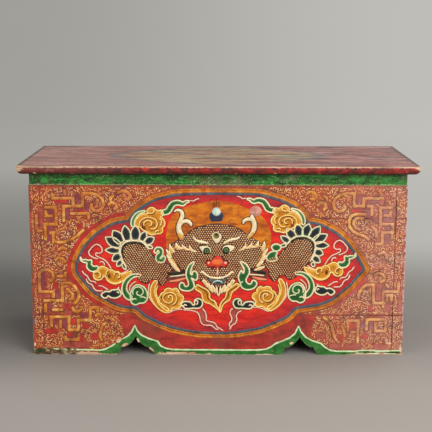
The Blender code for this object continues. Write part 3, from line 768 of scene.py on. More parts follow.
def eased(line, closed):
    # drop crowded points, then cut sharp turns so that a section can follow them
    kept = [line[0]]
    for spot in line[1:]:
        if (spot.xy - kept[-1].xy).length > easing["closest"]:
            kept.append(spot)
    if closed and len(kept) > 3 and (kept[0].xy - kept[-1].xy).length < easing["closest"]:
        kept.pop()
    for again in range(easing["rounds"]):
        count = len(kept)
        cut = []
        for index, spot in enumerate(kept):
            inner = closed or 0 < index < count - 1
            before, after = kept[index - 1], kept[(index + 1) % count]
            arriving, leaving = spot.xy - before.xy, after.xy - spot.xy
            if inner and arriving.angle(leaving, 0.0) > math.radians(easing["sharpest"]):
                cut.append(spot.lerp(before, min(easing["share"], easing["cut"] / arriving.length)))
                cut.append(spot.lerp(after, min(easing["share"], easing["cut"] / leaving.length)))
            else:
                cut.append(spot)
        kept = cut
    return kept


def layStrokes(name, strokes, section, paint, lift):
    shape = newCurve(name)
    shape.bevel_mode = "OBJECT"
    shape.bevel_object = sections[section]
    shape.use_fill_caps = True
    for line, closed in strokes:
        if section != "ridge":  # the fret keeps its square corners
            line = eased(line, closed)
        run = shape.splines.new("POLY")
        run.points.add(len(line) - 1)
        for point, (x, z, radius) in zip(run.points, line):
            point.co = (x * mm, z * mm, 0, 1)
            point.radius = radius * mm
        run.use_cyclic_u = closed
    piece = newPiece(name, shape)
    piece.location.y = face - lift * mm
    piece.rotation_euler.x = math.pi / 2
    settle(piece, paints[paint])


# rows and clear are shares of the spacing
cushion = {"sink": 0.4, "rows": 0.866, "clear": 0.4, "weld": 0.001}


def layPatch(name, outlines, paint, lift, height=0.0, rim=5.0, spacing=4.0, fade=7.0):
    # low cushions inside closed outlines, with how far in each point lies kept as shade
    spots, faces, shades = [], [], []
    for outline in outlines:
        ring = flat(outline)
        low, high = ring.min(0), ring.max(0)
        rows = np.arange(low[1] + spacing / 2, high[1], spacing * cushion["rows"])
        columns = np.arange(low[0] + spacing / 2, high[0], spacing)
        grid = np.array([(x + (row % 2) * spacing / 2, z) for row, z in enumerate(rows) for x in columns])
        if len(grid):
            grid = grid[insideOf(grid, ring)]
        if len(grid):
            grid = grid[farFrom(grid, ring) > spacing * cushion["clear"]]
        corners = [Vector(spot) for spot in (*ring, *grid)]
        made = delaunay_2d_cdt(corners, [], [list(range(len(ring)))], 1, cushion["weld"])
        points = np.array([tuple(point) for point in made[0]])
        depth = farFrom(points, ring)
        top = crown(depth, lift, height, rim)
        start, count = len(spots), len(points)
        spots += [(x * mm, face - up * mm, z * mm) for (x, z), up in zip(points, top)]
        spots += [(x * mm, face + cushion["sink"] * mm, z * mm) for x, z in points]
        shades += list(np.clip(depth / fade, 0, 1)) * 2
        walls = {}
        for a, b, c in made[2]:
            area = np.cross(points[b] - points[a], points[c] - points[a])
            if area < 0:
                b, c = c, b
            faces.append((start + a, start + b, start + c))
            faces.append((start + count + c, start + count + b, start + count + a))
            for tail, head in ((a, b), (b, c), (c, a)):
                if (head, tail) in walls:
                    del walls[(head, tail)]
                else:
                    walls[(tail, head)] = True
        for tail, head in walls:
            faces.append((start + head, start + tail, start + count + tail, start + count + head))
    mesh = bpy.data.meshes.new(name)
    mesh.from_pydata(spots, [], faces)
    washed = mesh.attributes.new("shade", "FLOAT", "POINT")
    washed.data.foreach_set("value", np.array(shades, np.float32))
    settle(newPiece(name, mesh), paints[paint])


# A row that starts with a section is piped: section, paint, lift. Any other row is filled: paint, lift,
# height of its crown, width of its rim, spacing of its points and how far in the shade reaches
def layRow(layers, name, shapes):
    row = layers[name]
    if row[0] in sections:
        layStrokes(name, shapes, *row)
    else:
        layPatch(name, shapes, *row)


scaling = {
    "size": 2.25, "height": 1.3, "seed": 5, "scatter": 0.25, "edgeRoom": 1.1, "offRoom": 0.7,
    "ledges": ((1.0, -0.3), (0.8, 0.7)), "peak": 0.12,
}


def layScales(name, rings, keepOff, form, across, down, bow):
    # rows of small domes over a crowned ground
    wander = random.Random(scaling["seed"])
    size, height, stray = scaling["size"], scaling["height"], scaling["scatter"]
    spots, faces = [], []
    for outline in rings:
        ring = flat(outline)
        low, high = ring.min(0), ring.max(0)
        middle = (low + high) / 2
        rows = np.arange(low[1] - bow, high[1] + bow, down)
        columns = np.arange(low[0], high[0], across)
        grid = []
        for row, z in enumerate(rows):
            for x in columns:
                x = x + (row % 2) * across / 2
                grid.append((x, z - bow * ((x - middle[0]) / (high[0] - middle[0])) ** 2))
        grid = np.array(grid)
        grid = grid[insideOf(grid, ring)]
        grid = grid[farFrom(grid, ring) > size * scaling["edgeRoom"]]
        shifts = [(wander.uniform(-stray, stray), wander.uniform(-stray, stray)) for spot in grid]
        grid = grid + np.array(shifts)
        for other in keepOff:
            other = flat(other)
            grid = grid[~insideOf(grid, other) & (farFrom(grid, other) > size * scaling["offRoom"])]
        for (x, z), up in zip(grid, crown(farFrom(grid, ring), *form)):
            start = len(spots)
            for reach, rising in scaling["ledges"]:
                for corner in range(6):
                    turn = math.pi * (corner / 3 + 1 / 6)
                    spots.append((x + size * reach * math.cos(turn), up + height * rising,
                                  z + size * reach * math.sin(turn)))
            spots.append((x, up + height, z - size * scaling["peak"]))
            for corner in range(6):
                after = (corner + 1) % 6
                faces.append((start + corner, start + after, start + 6 + after, start + 6 + corner))
                faces.append((start + 6 + corner, start + 6 + after, start + 12))
            faces.append([start + 5 - corner for corner in range(6)])
    mesh = bpy.data.meshes.new(name)
    mesh.from_pydata([(x * mm, face - up * mm, z * mm) for x, up, z in spots], [], faces)
    settle(newPiece(name, mesh), paints["scale"], merging["domes"])


# name, three tones, grime, flakes, and for some: a painted shade on the flank, a wash, faded areas, dust
# with a painted sheen, or a brush
paintRows = {
    "field": ("fieldRed", (146, 34, 44), (190, 40, 42), (150, 46, 56), 0.35, 0.2,
        {"middle": ((196, 24, 20), (248, 52, 32)), "brush": (0.35, 1, 1.6)}),
    "halo": ("haloOrange", (168, 78, 16), (208, 108, 10), (226, 138, 26), 0.45, 0.25,
        {"zone": (190, 82, 18), "zoneFrom": 0.54, "brush": (0.45, 1, 1.5)}),
    "border": ("borderOrange", (164, 84, 22), (208, 118, 22), (226, 150, 48), 0.5, 0.35,
        {"side": (126, 60, 26), "zone": (168, 92, 34)}),
    "blue": ("borderBlue", (66, 60, 68), (80, 84, 90), (104, 112, 118), 0.3, 0.35,
        {"side": (50, 46, 50), "zone": (58, 92, 110)}),
    "fret": ("fretOrange", (176, 92, 36), (212, 134, 46), (240, 186, 100), 0.6, 0.6,
        {"side": (150, 76, 40), "zone": (210, 128, 74), "sheenAndDust": 0.35}),
    "tendril": ("tendrilGold", (224, 136, 66), (240, 168, 92), (254, 214, 158), 0.4, 0.35,
        {"side": (148, 70, 42), "zone": (226, 152, 100), "sheenAndDust": 0.35}),
    "brown": ("hideBrown", (60, 30, 20), (78, 42, 28), (96, 54, 36), 0.2, 0.35, {}),
    "scale": ("scaleTan", (232, 160, 100), (246, 188, 128), (252, 212, 160), 0.15, 0.05,
        {"side": (92, 46, 28), "zone": (222, 146, 94)}),
    "cream": ("creamLine", (236, 214, 164), (248, 232, 190), (240, 222, 176), 0.08, 0.05,
        {"side": (170, 156, 108), "zone": (206, 220, 168)}),
    "pink": ("pinkLine", (242, 176, 150), (250, 196, 172), (248, 212, 184), 0.1, 0.1,
        {"side": (200, 100, 84)}),
    "salmon": ("cheekSalmon", (232, 122, 74), (246, 152, 104), (250, 178, 134), 0.15, 0.1, {}),
    "loss": ("lossPink", (196, 122, 106), (212, 144, 126), (226, 168, 148), 0.5, 0.3, {}),
    "gold": ("cloudGold", (238, 178, 60), (246, 196, 84), (236, 164, 44), 0.2, 0.1,
        {"middle": ((184, 108, 14), (218, 146, 28)), "zone": (228, 146, 36)}),
    "paleGold": ("cloudLine", (246, 200, 100), (254, 216, 124), (252, 224, 146), 0.1, 0.1,
        {"side": (186, 104, 30)}),
    "green": ("leafGreen", (104, 156, 92), (80, 140, 76), (124, 172, 112), 0.15, 0.1,
        {"middle": ((20, 78, 30), (34, 106, 44))}),
    "band": ("footGreen", (28, 90, 34), (44, 116, 44), (66, 136, 58), 0.4, 0.5, {}),
    "slate": ("cloudSlate", (96, 112, 106), (80, 94, 90), (110, 124, 114), 0.2, 0.1,
        {"middle": ((20, 28, 32), (34, 40, 42))}),
    "horn": ("hornCream", (230, 204, 156), (246, 230, 188), (240, 220, 176), 0.15, 0.1, {}),
    "ochre": ("hornRoot", (206, 146, 60), (224, 170, 82), (232, 190, 110), 0.15, 0.1, {}),
    "nose": ("noseRed", (208, 48, 32), (220, 58, 38), (198, 44, 32), 0.12, 0.05,
        {"middle": ((236, 104, 44), (244, 138, 70))}),
    "flame": ("flameCream", (244, 220, 162), (250, 234, 186), (252, 240, 206), 0.1, 0.1,
        {"middle": ((226, 172, 80), (238, 192, 108))}),
    "navy": ("jewelNavy", (34, 42, 60), (44, 54, 74), (56, 62, 80), 0.2, 0.35, {}),
    "mint": ("jewelMint", (176, 206, 186), (206, 226, 208), (226, 238, 226), 0.1, 0.05, {}),
    "iris": ("irisGreen", (74, 108, 44), (92, 128, 58), (116, 150, 84), 0.1, 0.0, {}),
    "olive": ("irisOlive", (96, 84, 30), (122, 106, 44), (146, 128, 62), 0.1, 0.0, {}),
    "shadow": ("contourMaroon", (70, 24, 22), (88, 32, 26), (104, 40, 30), 0.3, 0.0, {}),
    "crease": ("cloudCrease", (92, 40, 6), (118, 54, 8), (140, 70, 14), 0.2, 0.0, {}),
    "mintLine": ("footLine", (190, 222, 164), (216, 236, 184), (234, 238, 200), 0.25, 0.3,
        {"side": (110, 152, 92)}),
    "chip": ("bareChip", (206, 156, 120), (228, 186, 148), (240, 208, 176), 0.25, 0.0, {}),
    "edge": ("fretEdge", (104, 44, 40), (124, 56, 44), (140, 66, 48), 0.3, 0.0, {}),
    "low": ("lowRed", (146, 46, 38), (178, 50, 40), (196, 62, 48), 0.55, 0.2,
        {"zone": (142, 64, 50), "sheenAndDust": 0.15, "brush": (0.4, 1, 1.4)}),
    "moss": ("footMoss", (30, 54, 28), (46, 76, 38), (74, 98, 60), 0.6, 0.7, {}),
    "plum": ("fillPlum", (124, 52, 60), (144, 60, 68), (158, 78, 80), 0.3, 0.2, {"sheenAndDust": 0.3}),
    "rose": ("fillRose", (160, 66, 54), (178, 78, 64), (190, 96, 78), 0.45, 0.2, {"sheenAndDust": 0.25}),
    "crimson": ("fillCrimson", (164, 46, 40), (192, 50, 40), (212, 62, 48), 0.5, 0.15, {"sheenAndDust": 0.2}),
    "clear": ("clearRed", (150, 44, 40), (188, 44, 38), (208, 52, 42), 0.5, 0.2,
        {"zone": (138, 62, 46), "sheenAndDust": 0.3}),
    "dark": ("pupilDark", (24, 24, 16), (34, 34, 20), (46, 46, 28), 0.05, 0.0, {}),
}
makeSections()
paints = {}
for key, (name, *tones, grime, flakes, extra) in paintRows.items():
    paints[key] = reliefPaint(name, tones, grime, flakes, **extra)
print("paints mixed:", len(paints))


# Lobed cartouche: each run stops at a cusp, from the top middle down
cartouche = {
    "left": (
        ((0, 399.5), (-50, 399), (-100, 396.5), (-125, 391), (-150, 384), (-170, 373), (-188, 361),
         (-200, 351), (-213, 333)),
        ((-213, 333), (-236, 330), (-255, 324), (-272, 314), (-290, 302), (-305, 288), (-318, 272),
         (-328, 257), (-335, 243), (-339, 228), (-341, 213), (-336, 201), (-328, 190), (-312, 170),
         (-303, 160), (-289, 150), (-262, 134), (-240, 124), (-225, 120.5), (-205, 119), (-195, 116)),
        ((-195, 116), (-180, 101), (-160, 90), (-140, 80), (-110, 69), (-75, 61), (-50, 57), (-25, 55.5),
         (0, 55)),
    ),
    "right": (
        ((0, 399.5), (50, 399), (100, 397), (130, 389), (150, 383), (165, 376), (180, 368), (200, 350),
         (213, 331)),
        ((213, 331), (240, 326), (255, 320), (270, 312), (285, 303), (300, 290), (312, 277), (332, 250),
         (346, 226), (352, 216)),
        ((352, 216), (330, 190), (318, 175), (300, 160), (280, 143), (260, 133), (240, 127), (215, 123),
         (187, 118)),
        ((187, 118), (172, 100), (160, 92), (145, 85), (115, 72), (100, 67), (80, 63), (50, 58), (20, 55),
         (0, 55)),
    ),
    "halo": ((-122, 262), (-125, 285), (-124, 302), (-121, 319), (-116, 336), (-108, 348), (-96, 357),
        (-82, 365), (-66, 371), (-42, 377), (-20, 381), (-3, 383), (14, 382), (32, 379), (48, 374),
        (62, 367), (78, 361), (93, 353), (105, 345), (114, 334), (121, 320), (126, 306), (128, 292),
        (126, 278), (121, 262)),
    "step": 4.0, "haloStep": 5.0, "crowd": 0.5, "blueHalf": 3.4, "orangeHalf": 5.2, "orangeOut": 8.2,
    "layers": {
        "cartoucheField": ("field", 0.5, 0.0, 5.0, 9.0, 46.0), "orangeHalo": ("halo", 0.8, 0.0, 5.0, 9.0),
        "blueBorder": ("flat", "blue", 0.3), "orangeBorder": ("double", "border", 0.0),
    },
}


def cartoucheLoop():
    runs = [*cartouche["left"], *[run[::-1] for run in reversed(cartouche["right"])]]
    return [spot.xy for run in runs for spot in flowing(run, 1.0, False, cartouche["step"])[:-1]]


def pushedOut(loop, distance):
    # the same loop, further out, without the points that crowd at the cusps
    moved = []
    count = len(loop)
    for index, spot in enumerate(loop):
        along = (loop[(index + 1) % count] - loop[index - 1]).normalized()
        moved.append(spot + Vector((along.y, -along.x)) * distance)
    gaps = farFrom(flat(moved), flat(loop))
    return [spot for spot, gap in zip(moved, gaps) if gap > distance - cartouche["crowd"]]


loop = cartoucheLoop()
borderLoop = pushedOut(loop, cartouche["orangeOut"])


def layCartouche():
    lay = partial(layRow, cartouche["layers"])
    lay("cartoucheField", [loop])
    lay("orangeHalo", [[spot.xy for spot in flowing(cartouche["halo"], 1.0, False, cartouche["haloStep"])]])
    lay("blueBorder", outlined([loop], cartouche["blueHalf"]))
    lay("orangeBorder", outlined([borderLoop], cartouche["orangeHalf"]))


layCartouche()
print("cartouche laid")


# Foot border: a pale line over a green band that follows the arches
footing = {
    "line": ((-448, 14), (-400, 13.5), (-345, 12), (-287, 10.5), (-273, 14), (-260, 21), (-248, 29),
        (-235, 38), (-220, 46.5), (-210, 57), (-202, 74), (-196, 59), (-186, 49), (-170, 41), (-147, 33.5),
        (-140, 22), (-127, 15.5), (-110, 12.5), (-60, 12), (0, 12), (60, 11.5), (100, 12), (118, 14),
        (130, 20), (142, 29), (160, 36), (176, 43.5), (188, 54), (196.5, 73), (203, 58), (214, 45),
        (230, 36), (252, 29), (262, 19), (275, 11.5), (292, 9), (330, 9), (380, 10), (448, 11)),
    # what is left of the pale line: from, to, half width, drop
    "runs": ((-346, -249, 2.6, 0), (-234, 344, 2.5, 0), (-404, -387, 1.8, 0), (-378, -367, 2.0, 0),
        (-361, -351, 1.7, 0), (340, 386, 1.9, -1.5), (382, 424, 2.6, 0.5), (420, 447, 2.2, 0),
        (336, 362, 1.6, 5), (360, 396, 1.8, 6), (402, 440, 1.5, 7)),
    "lineStep": 5.0, "tip": 0.4, "waver": (0.2, 0.23, 0.051), "arch": 200.0,
    "edge": ((0, 46), (34, 19), (51, 0)), "fall": 2.2, "end": 448.0, "edgeStep": 4.0,
    "green": (-292.0, 342.0),
    # how much of the green band's lower edge has gone
    "bare": ((-292, 4.5), (-262, 2.5), (-150, 1.5), (-146, 6), (-62, 6), (-52, 2.5), (-32, 1.5), (-26, 6),
        (-16, 3), (-10, 0.8), (92, 0.6), (96, 2), (133, 2), (138, 0.6), (290, 0.6), (322, 2), (342, 5)),
    "archFrom": 1, "archBare": 0.7, "rag": 0.5, "seed": 7,
    "chips": (
        ((-250, 29), (-246, 36), (-239, 42), (-232, 41), (-235, 35), (-241, 30)),
        ((-237, 21), (-231, 28), (-222, 30), (-217, 27), (-224, 23), (-231, 19)),
        ((-199, 41), (-196, 44), (-191, 36), (-190, 30), (-195, 32)),
        ((-170, 18), (-166, 20), (-158, 13), (-153, 7), (-160, 9)),
        ((173, 28), (179, 33), (186, 33), (184, 28), (177, 26)),
        ((409, 29), (414, 33), (424, 32), (426, 29), (417, 27)),
        ((444, 6), (443, 27), (447, 30), (449, 18), (449, 7)),
        ((-449, 21), (-448, 31), (-444, 30), (-443, 22)),
    ),
    "chipShare": 0.8, "chipStep": 2.0,
    "blotches": (
        ((-445, 6), (-444, 12), (-437, 15), (-428, 14), (-421, 11), (-425, 6), (-435, 4)),
        ((343, 8), (356, 9.5), (374, 9), (388, 7), (376, 4.5), (356, 4), (345, 5)),
        ((410, 8), (426, 9.5), (444, 9), (447, 5), (432, 3.5), (416, 4.5)),
    ),
    "layers": {
        "footGreenBand": ("band", 0.45, 0.0, 5.0, 7.0), "footBlotch": ("moss", 0.4, 0.0, 5.0, 6.0),
        "footChips": ("chip", 0.65), "footPaleLine": ("round", "mintLine", -0.8),
    },
}


def grown(points, factor):
    middle = Vector((sum(x for x, z in points), sum(z for x, z in points))) / len(points)
    return [tuple(middle + (Vector(point) - middle) * factor) for point in points]


def archHalf(corners, fall, count=9):
    # two hanging curves from the peak outwards
    half = []
    for (x0, z0), (x1, z1) in zip(corners, corners[1:]):
        for index in range(count):
            s = index / count
            half.append((x0 + (x1 - x0) * s, z0 + (z1 - z0) * (1 - (1 - s) ** fall)))
    return half + [corners[-1]]


def footEdge():
    arch, end = footing["arch"], footing["end"]
    half = archHalf(footing["edge"], footing["fall"])
    left = [(-arch - x, z) for x, z in reversed(half)] + [(-arch + x, z) for x, z in half[1:]]
    corners = [(-end, 0.0)] + left + [(-x, z) for x, z in reversed(left)] + [(end, 0.0)]
    return [tuple(spot.xy) for spot in straight(corners, 1.0, footing["edgeStep"])]


def heightAt(points, x):
    return float(np.interp(x, *zip(*points)))


def between(points, low, high):
    # the part of a line from one x to another
    inner = [tuple(spot) for spot in points if low < spot[0] < high]
    return [(low, heightAt(points, low))] + inner + [(high, heightAt(points, high))]


def layFoot():
    f = footing
    lay = partial(layRow, f["layers"])
    wander = random.Random(f["seed"])
    torn = []
    for x, z in between(footEdge(), *f["green"]):
        gone = heightAt(f["bare"], x) if z < f["archFrom"] else f["archBare"]
        torn.append((x, z + gone * (1 + f["rag"] * wander.uniform(-1, 1))))
    lay("footGreenBand", [between(f["line"], *f["green"]) + torn[::-1]])
    lay("footBlotch", [ringOf(ring) for ring in f["blotches"]])
    lay("footChips", [ringOf(grown(ring, f["chipShare"]), f["chipStep"]) for ring in f["chips"]])
    depth, first, second = f["waver"]
    lines = []
    for low, high, half, drop in f["runs"]:
        points = [(x, z - drop) for x, z in between(f["line"], low, high)]
        line = straight(points, half, f["lineStep"])
        line.append(Vector((*points[-1], half * f["tip"])))
        line[0].z = half * f["tip"]
        for spot in line:
            spot.z *= 1 + depth * math.sin(spot.x * first) * math.sin(spot.x * second)
        lines.append((line, False))
    lay("footPaleLine", lines)


layFoot()
print("foot border laid")

# Scaled body behind each shoulder, with its crown of petals
shoulder = {
    "body": ((-233, 250), (-231, 270), (-222, 280), (-208, 284), (-195, 285), (-182, 282), (-173, 275),
        (-163, 262), (-152, 248), (-142, 238), (-128, 236), (-114, 226), (-102, 214), (-112, 209),
        (-120, 203), (-121, 190), (-128, 178), (-138, 173), (-146, 184), (-155, 190), (-163, 186),
        (-170, 178), (-180, 180), (-190, 186), (-200, 198), (-212, 208), (-222, 222), (-230, 238)),
    "ring": ((-222, 222), (-230, 240), (-234, 258), (-231, 272), (-222, 281), (-208, 285), (-195, 285),
        (-182, 282), (-173, 274), (-165, 264)),
    # tip, base, half width
    "petals": (
        ((-222, 214), (-229, 229), 4), ((-243, 222), (-232, 236), 6), ((-254, 236), (-235, 250), 9),
        ((-270, 262), (-237, 261), 8), ((-269, 293), (-236, 272), 11), ((-251, 310), (-231, 281), 12),
        ((-223, 322), (-217, 286), 10.5), ((-197, 322), (-198, 287), 11), ((-173, 308), (-183, 285), 8),
        ((-153, 293), (-174, 280), 9), ((-156, 268), (-168, 271), 4),
    ),
    "rightPetals": (
        ((150, 297), (170, 283), 7), ((164, 315), (182, 293), 9.5), ((188, 327), (196, 298), 10),
        ((217, 327), (208, 298), 10.5), ((243, 321), (221, 290), 11), ((261, 301), (230, 284), 10.5),
        ((265, 274), (233, 276), 8.5), ((252, 253), (233, 260), 8.5), ((245, 233), (229, 246), 7.5),
        ((231, 222), (227, 232), 4.5), ((149, 272), (163, 276), 4),
    ),
    "up": 11.0, "inner": 5.4,
}
guardian = {
    "head": ((-3, 328), (-26, 325.5), (-48, 320), (-61, 314), (-70, 307), (-79, 299), (-92, 291),
        (-104, 283), (-115, 275), (-121, 256), (-112, 238), (-100, 225), (-85, 213), (-72, 208), (-60, 200),
        (-45, 188), (-30, 178), (-20, 172), (-3, 165)),
    "middle": -3.0,
    "thirdEye": ((-4, 308), (-12, 303), (-15, 296), (-11, 287), (-3, 279), (6, 287), (9, 296), (5, 303)),
    "brows": (
        ((-60.5, 302, 0.8), (-58, 294, 1.6), (-53, 288, 2.3), (-46, 284, 3.7), (-38, 283, 3.9),
         (-30, 281, 3.0), (-21, 279, 1.1)),
        ((55, 303, 0.8), (51, 295, 1.8), (44, 291, 2.8), (34, 289, 3.6), (25, 286, 3.6), (18, 282, 2.6),
         (13, 277, 1.0)),
    ),
    "eyes": (
        ((-45, 271), (-35, 273), (-24, 272), (-17, 265), (-17, 258), (-24, 253), (-33, 255), (-40, 262)),
        ((40, 270), (30, 275), (20, 275), (12, 270), (11, 261), (17, 255), (27, 257), (34, 262)),
    ),
    "eyeDiscs": {  # middle, radius, and for some how far squashed
        "darkRings": ((-27, 261, 8.4), (20, 263, 8.4)), "greenIrises": ((-27, 261, 5.0), (20, 263, 5.0)),
        "oliveIris": ((-4, 298.5, 7.4),), "pupils": ((-27, 261, 2.2), (20, 263, 2.2), (-4, 301, 3.2)),
    },
    "nose": ((0, 249), (-8, 246), (-13, 240), (-17, 236), (-23, 237), (-28, 233), (-29, 227), (-25, 222),
        (-18, 221), (-12, 218), (-6, 220), (0, 217), (6, 220), (12, 219), (18, 222), (23, 225), (24, 231),
        (20, 236), (14, 235), (11, 240), (8, 246)),
    "noseDiscs": {
        "noseBulb": ((-2, 234, 15.0, 0.58),), "nostrils": ((-22, 231, 3.4), (18, 231.5, 3.4)),
        "noseHoles": ((-11, 223, 4.2, 0.5, 16), (8.5, 223, 4.2, 0.5, 16)),
    },
    "mouth": ((-42, 206, 1.4), (-38, 209, 2.8), (-31, 204, 2.8), (-21, 197, 2.6), (-8, 194, 2.8),
        (4, 194, 2.8), (16, 197, 2.6), (27, 203, 2.8), (34, 209, 2.8), (39, 205, 1.3)),
    "chin": ((-23, 192), (-12, 190.5), (0, 190), (12, 190.5), (21, 192), (16, 184), (8, 179), (0, 177),
        (-8, 179), (-17, 184)),
    "tongue": ((-12, 181), (-8, 185), (0, 187), (8, 185), (11, 181)),
    "septum": ((-1, 221), (-1, 212), (-2, 202)),
    "earBases": (
        ((-52, 259, 0.9), (-66, 262, 1.5), (-80, 265, 1.7), (-94, 268, 1.7), (-106, 267, 1.7),
         (-112, 259, 1.7), (-113, 249, 1.7), (-109, 239, 1.7), (-103, 230, 1.6), (-97, 221, 1.4),
         (-91, 212, 0.9)),
        ((50, 263, 0.9), (62, 268, 1.5), (76, 272, 1.7), (92, 275, 1.7), (103, 271, 1.7), (108, 262, 1.7),
         (107, 251, 1.7), (103, 241, 1.7), (97, 231, 1.5), (90, 222, 0.9)),
    ),
    "fins": (
        ((-116, 280), (-111, 271), (-106, 264), (-103, 257), (-110, 255), (-117, 258), (-118, 269)),
        ((-101, 282), (-95, 274), (-88, 270), (-79, 266), (-90, 263), (-100, 266), (-103, 273)),
        ((-87, 279), (-82, 273), (-74, 268), (-65, 263), (-76, 262), (-86, 267)),
        ((-69, 276), (-64, 269), (-57, 263), (-48, 258), (-60, 258), (-69, 264)),
        ((-125, 266), (-118, 260), (-112, 252), (-110, 243), (-117, 245), (-123, 255)),
        ((-125, 253), (-117, 247), (-110, 238), (-106, 230), (-114, 233), (-121, 243)),
        ((-121, 241), (-112, 236), (-103, 229), (-98, 221), (-107, 222), (-115, 231)),
        ((-114, 229), (-104, 225), (-95, 217), (-90, 209), (-100, 211), (-108, 219)),
    ),
    "rightFins": (
        ((111, 286), (106, 274), (104, 265), (109, 262), (114, 268), (114, 277)),
        ((97, 288), (92, 278), (84, 273), (76, 270), (88, 268), (98, 273)),
        ((82, 285), (78, 277), (70, 272), (60, 267), (72, 266), (82, 271)),
        ((66, 284), (64, 275), (58, 268), (49, 261), (60, 263), (68, 270)),
        ((120, 269), (113, 264), (108, 254), (106, 246), (112, 248), (118, 259)),
        ((119, 252), (110, 248), (103, 240), (101, 234), (108, 236), (115, 243)),
        ((110, 237), (101, 234), (93, 226), (92, 221), (100, 223), (107, 230)),
        ((114, 223), (104, 223), (93, 219), (86, 213), (96, 212), (107, 216)),
    ),
    "beard": (
        ((-39, 188), (-33, 191), (-27, 186), (-24, 178), (-21, 170), (-27, 171), (-33, 178)),
        ((-26, 182), (-21, 180), (-17, 173), (-13, 165), (-11, 157), (-18, 161), (-24, 169), (-27, 176)),
        ((-16, 178), (-10, 174), (-6, 166), (-5, 155), (-11, 160), (-16, 168)),
        ((-2, 174), (-6, 167), (-5, 160), (1.5, 148)),
    ),
    "beardOver": 3.0, "finShare": 0.94,
    "horns": (
        ((-88, 298, 7), (-93, 310, 6.5), (-93, 322, 6), (-89, 335, 5.5), (-85, 347, 5), (-88, 357, 4.5),
         (-97, 360, 3.5), (-104, 356, 2.5)),
        ((72, 295, 4), (80, 302, 5), (86, 315, 6), (86, 328, 6), (82, 340, 5.5), (80, 347, 4)),
    ),
    "branches": (
        ((-90, 324, 4), (-82, 332, 4.5), (-73, 333, 5), (-66, 328, 4.5), (-64, 322, 3)),
        ((84, 336, 5), (72, 338, 5), (62, 334, 4), (60, 327, 2.5)),
    ),
    "hornRoots": (
        ((-86, 292, 6.5), (-90, 299, 7), (-92, 306, 6)), ((70, 293, 4), (79, 300, 5), (84, 308, 5.5)),
    ),
    "bodyStep": 4.0, "lineStep": 2.5, "fineStep": 2.0,
    "scales": {  # across, down, and how far a row bows
        "body": (5.8, 4.7, 12.0), "head": (5.8, 4.8, 10.0),
    },
    "halves": {
        "ring": 2.1, "petal": 1.8, "inner": 2.8, "tongue": 1.7, "septum": 2.2, "hornShadow": 2.0,
        "earShadow": 1.3, "flameShadow": 1.1, "browShadow": 1.2,
    },
    "layers": {
        "petalFills": ("slate", 0.8, 0.4, 3.0, 3.0), "scaledBodies": ("brown", 0.8, 1.8, 12.0, 6.0),
        "guardianHead": ("brown", 0.9, 1.5, 14.0, 6.0), "ringShadows": ("flat", "dark", 2.6),
        "eyeWhites": ("horn", 2.3, 1.4, 7.0, 3.0), "darkRings": ("dark", 3.8, 0.3, 4.0, 2.5),
        "greenIrises": ("iris", 4.1, 0.4, 4.0, 2.5), "oliveIris": ("olive", 3.8, 0.4, 4.0, 2.5),
        "pupils": ("dark", 4.6, 0.3, 2.0, 1.5), "redNose": ("nose", 2.2, 2.6, 8.0, 3.0, 40.0),
        "noseBulb": ("nose", 4.4, 1.2, 9.0, 2.5, 5.0), "nostrils": ("pink", 4.0, 0.8, 3.0, 2.0),
        "noseHoles": ("shadow", 4.6, 0.1, 2.0, 2.0), "darkChin": ("slate", 2.4, 0.5, 4.0, 4.0),
        "tongue": ("round", "mint", 2.4), "hornRoots": ("ochre", 1.0, 2.9, 6.0, 3.0),
        "horns": ("horn", 0.9, 2.8, 6.0, 3.0), "hornShadows": ("thin", "shadow", 0.9),
        "earBases": ("round", "ochre", 2.2), "earShadows": ("thin", "shadow", 2.6),
        "flames": ("flame", 2.9, 1.5, 3.5, 2.5, 4.5), "flameShadows": ("thin", "shadow", 2.7),
        "browsAndMouth": ("round", "flame", 1.9), "browShadows": ("thin", "shadow", 2.6),
        "noseLine": ("round", "pink", 2.0),
    },
}


def inward(points, distance):
    # the same arc, drawn nearer to the middle of its ends
    middle = Vector((points[0][0] + points[-1][0], points[0][1] + points[-1][1])) / 2
    moved = [Vector(point) + (middle - Vector(point)).normalized() * distance for point in points]
    return [tuple(spot) for spot in moved[1:-1]]


def around(points, middle):
    return list(points) + [(2 * middle - x, z) for x, z in reversed(points[1:-1])]


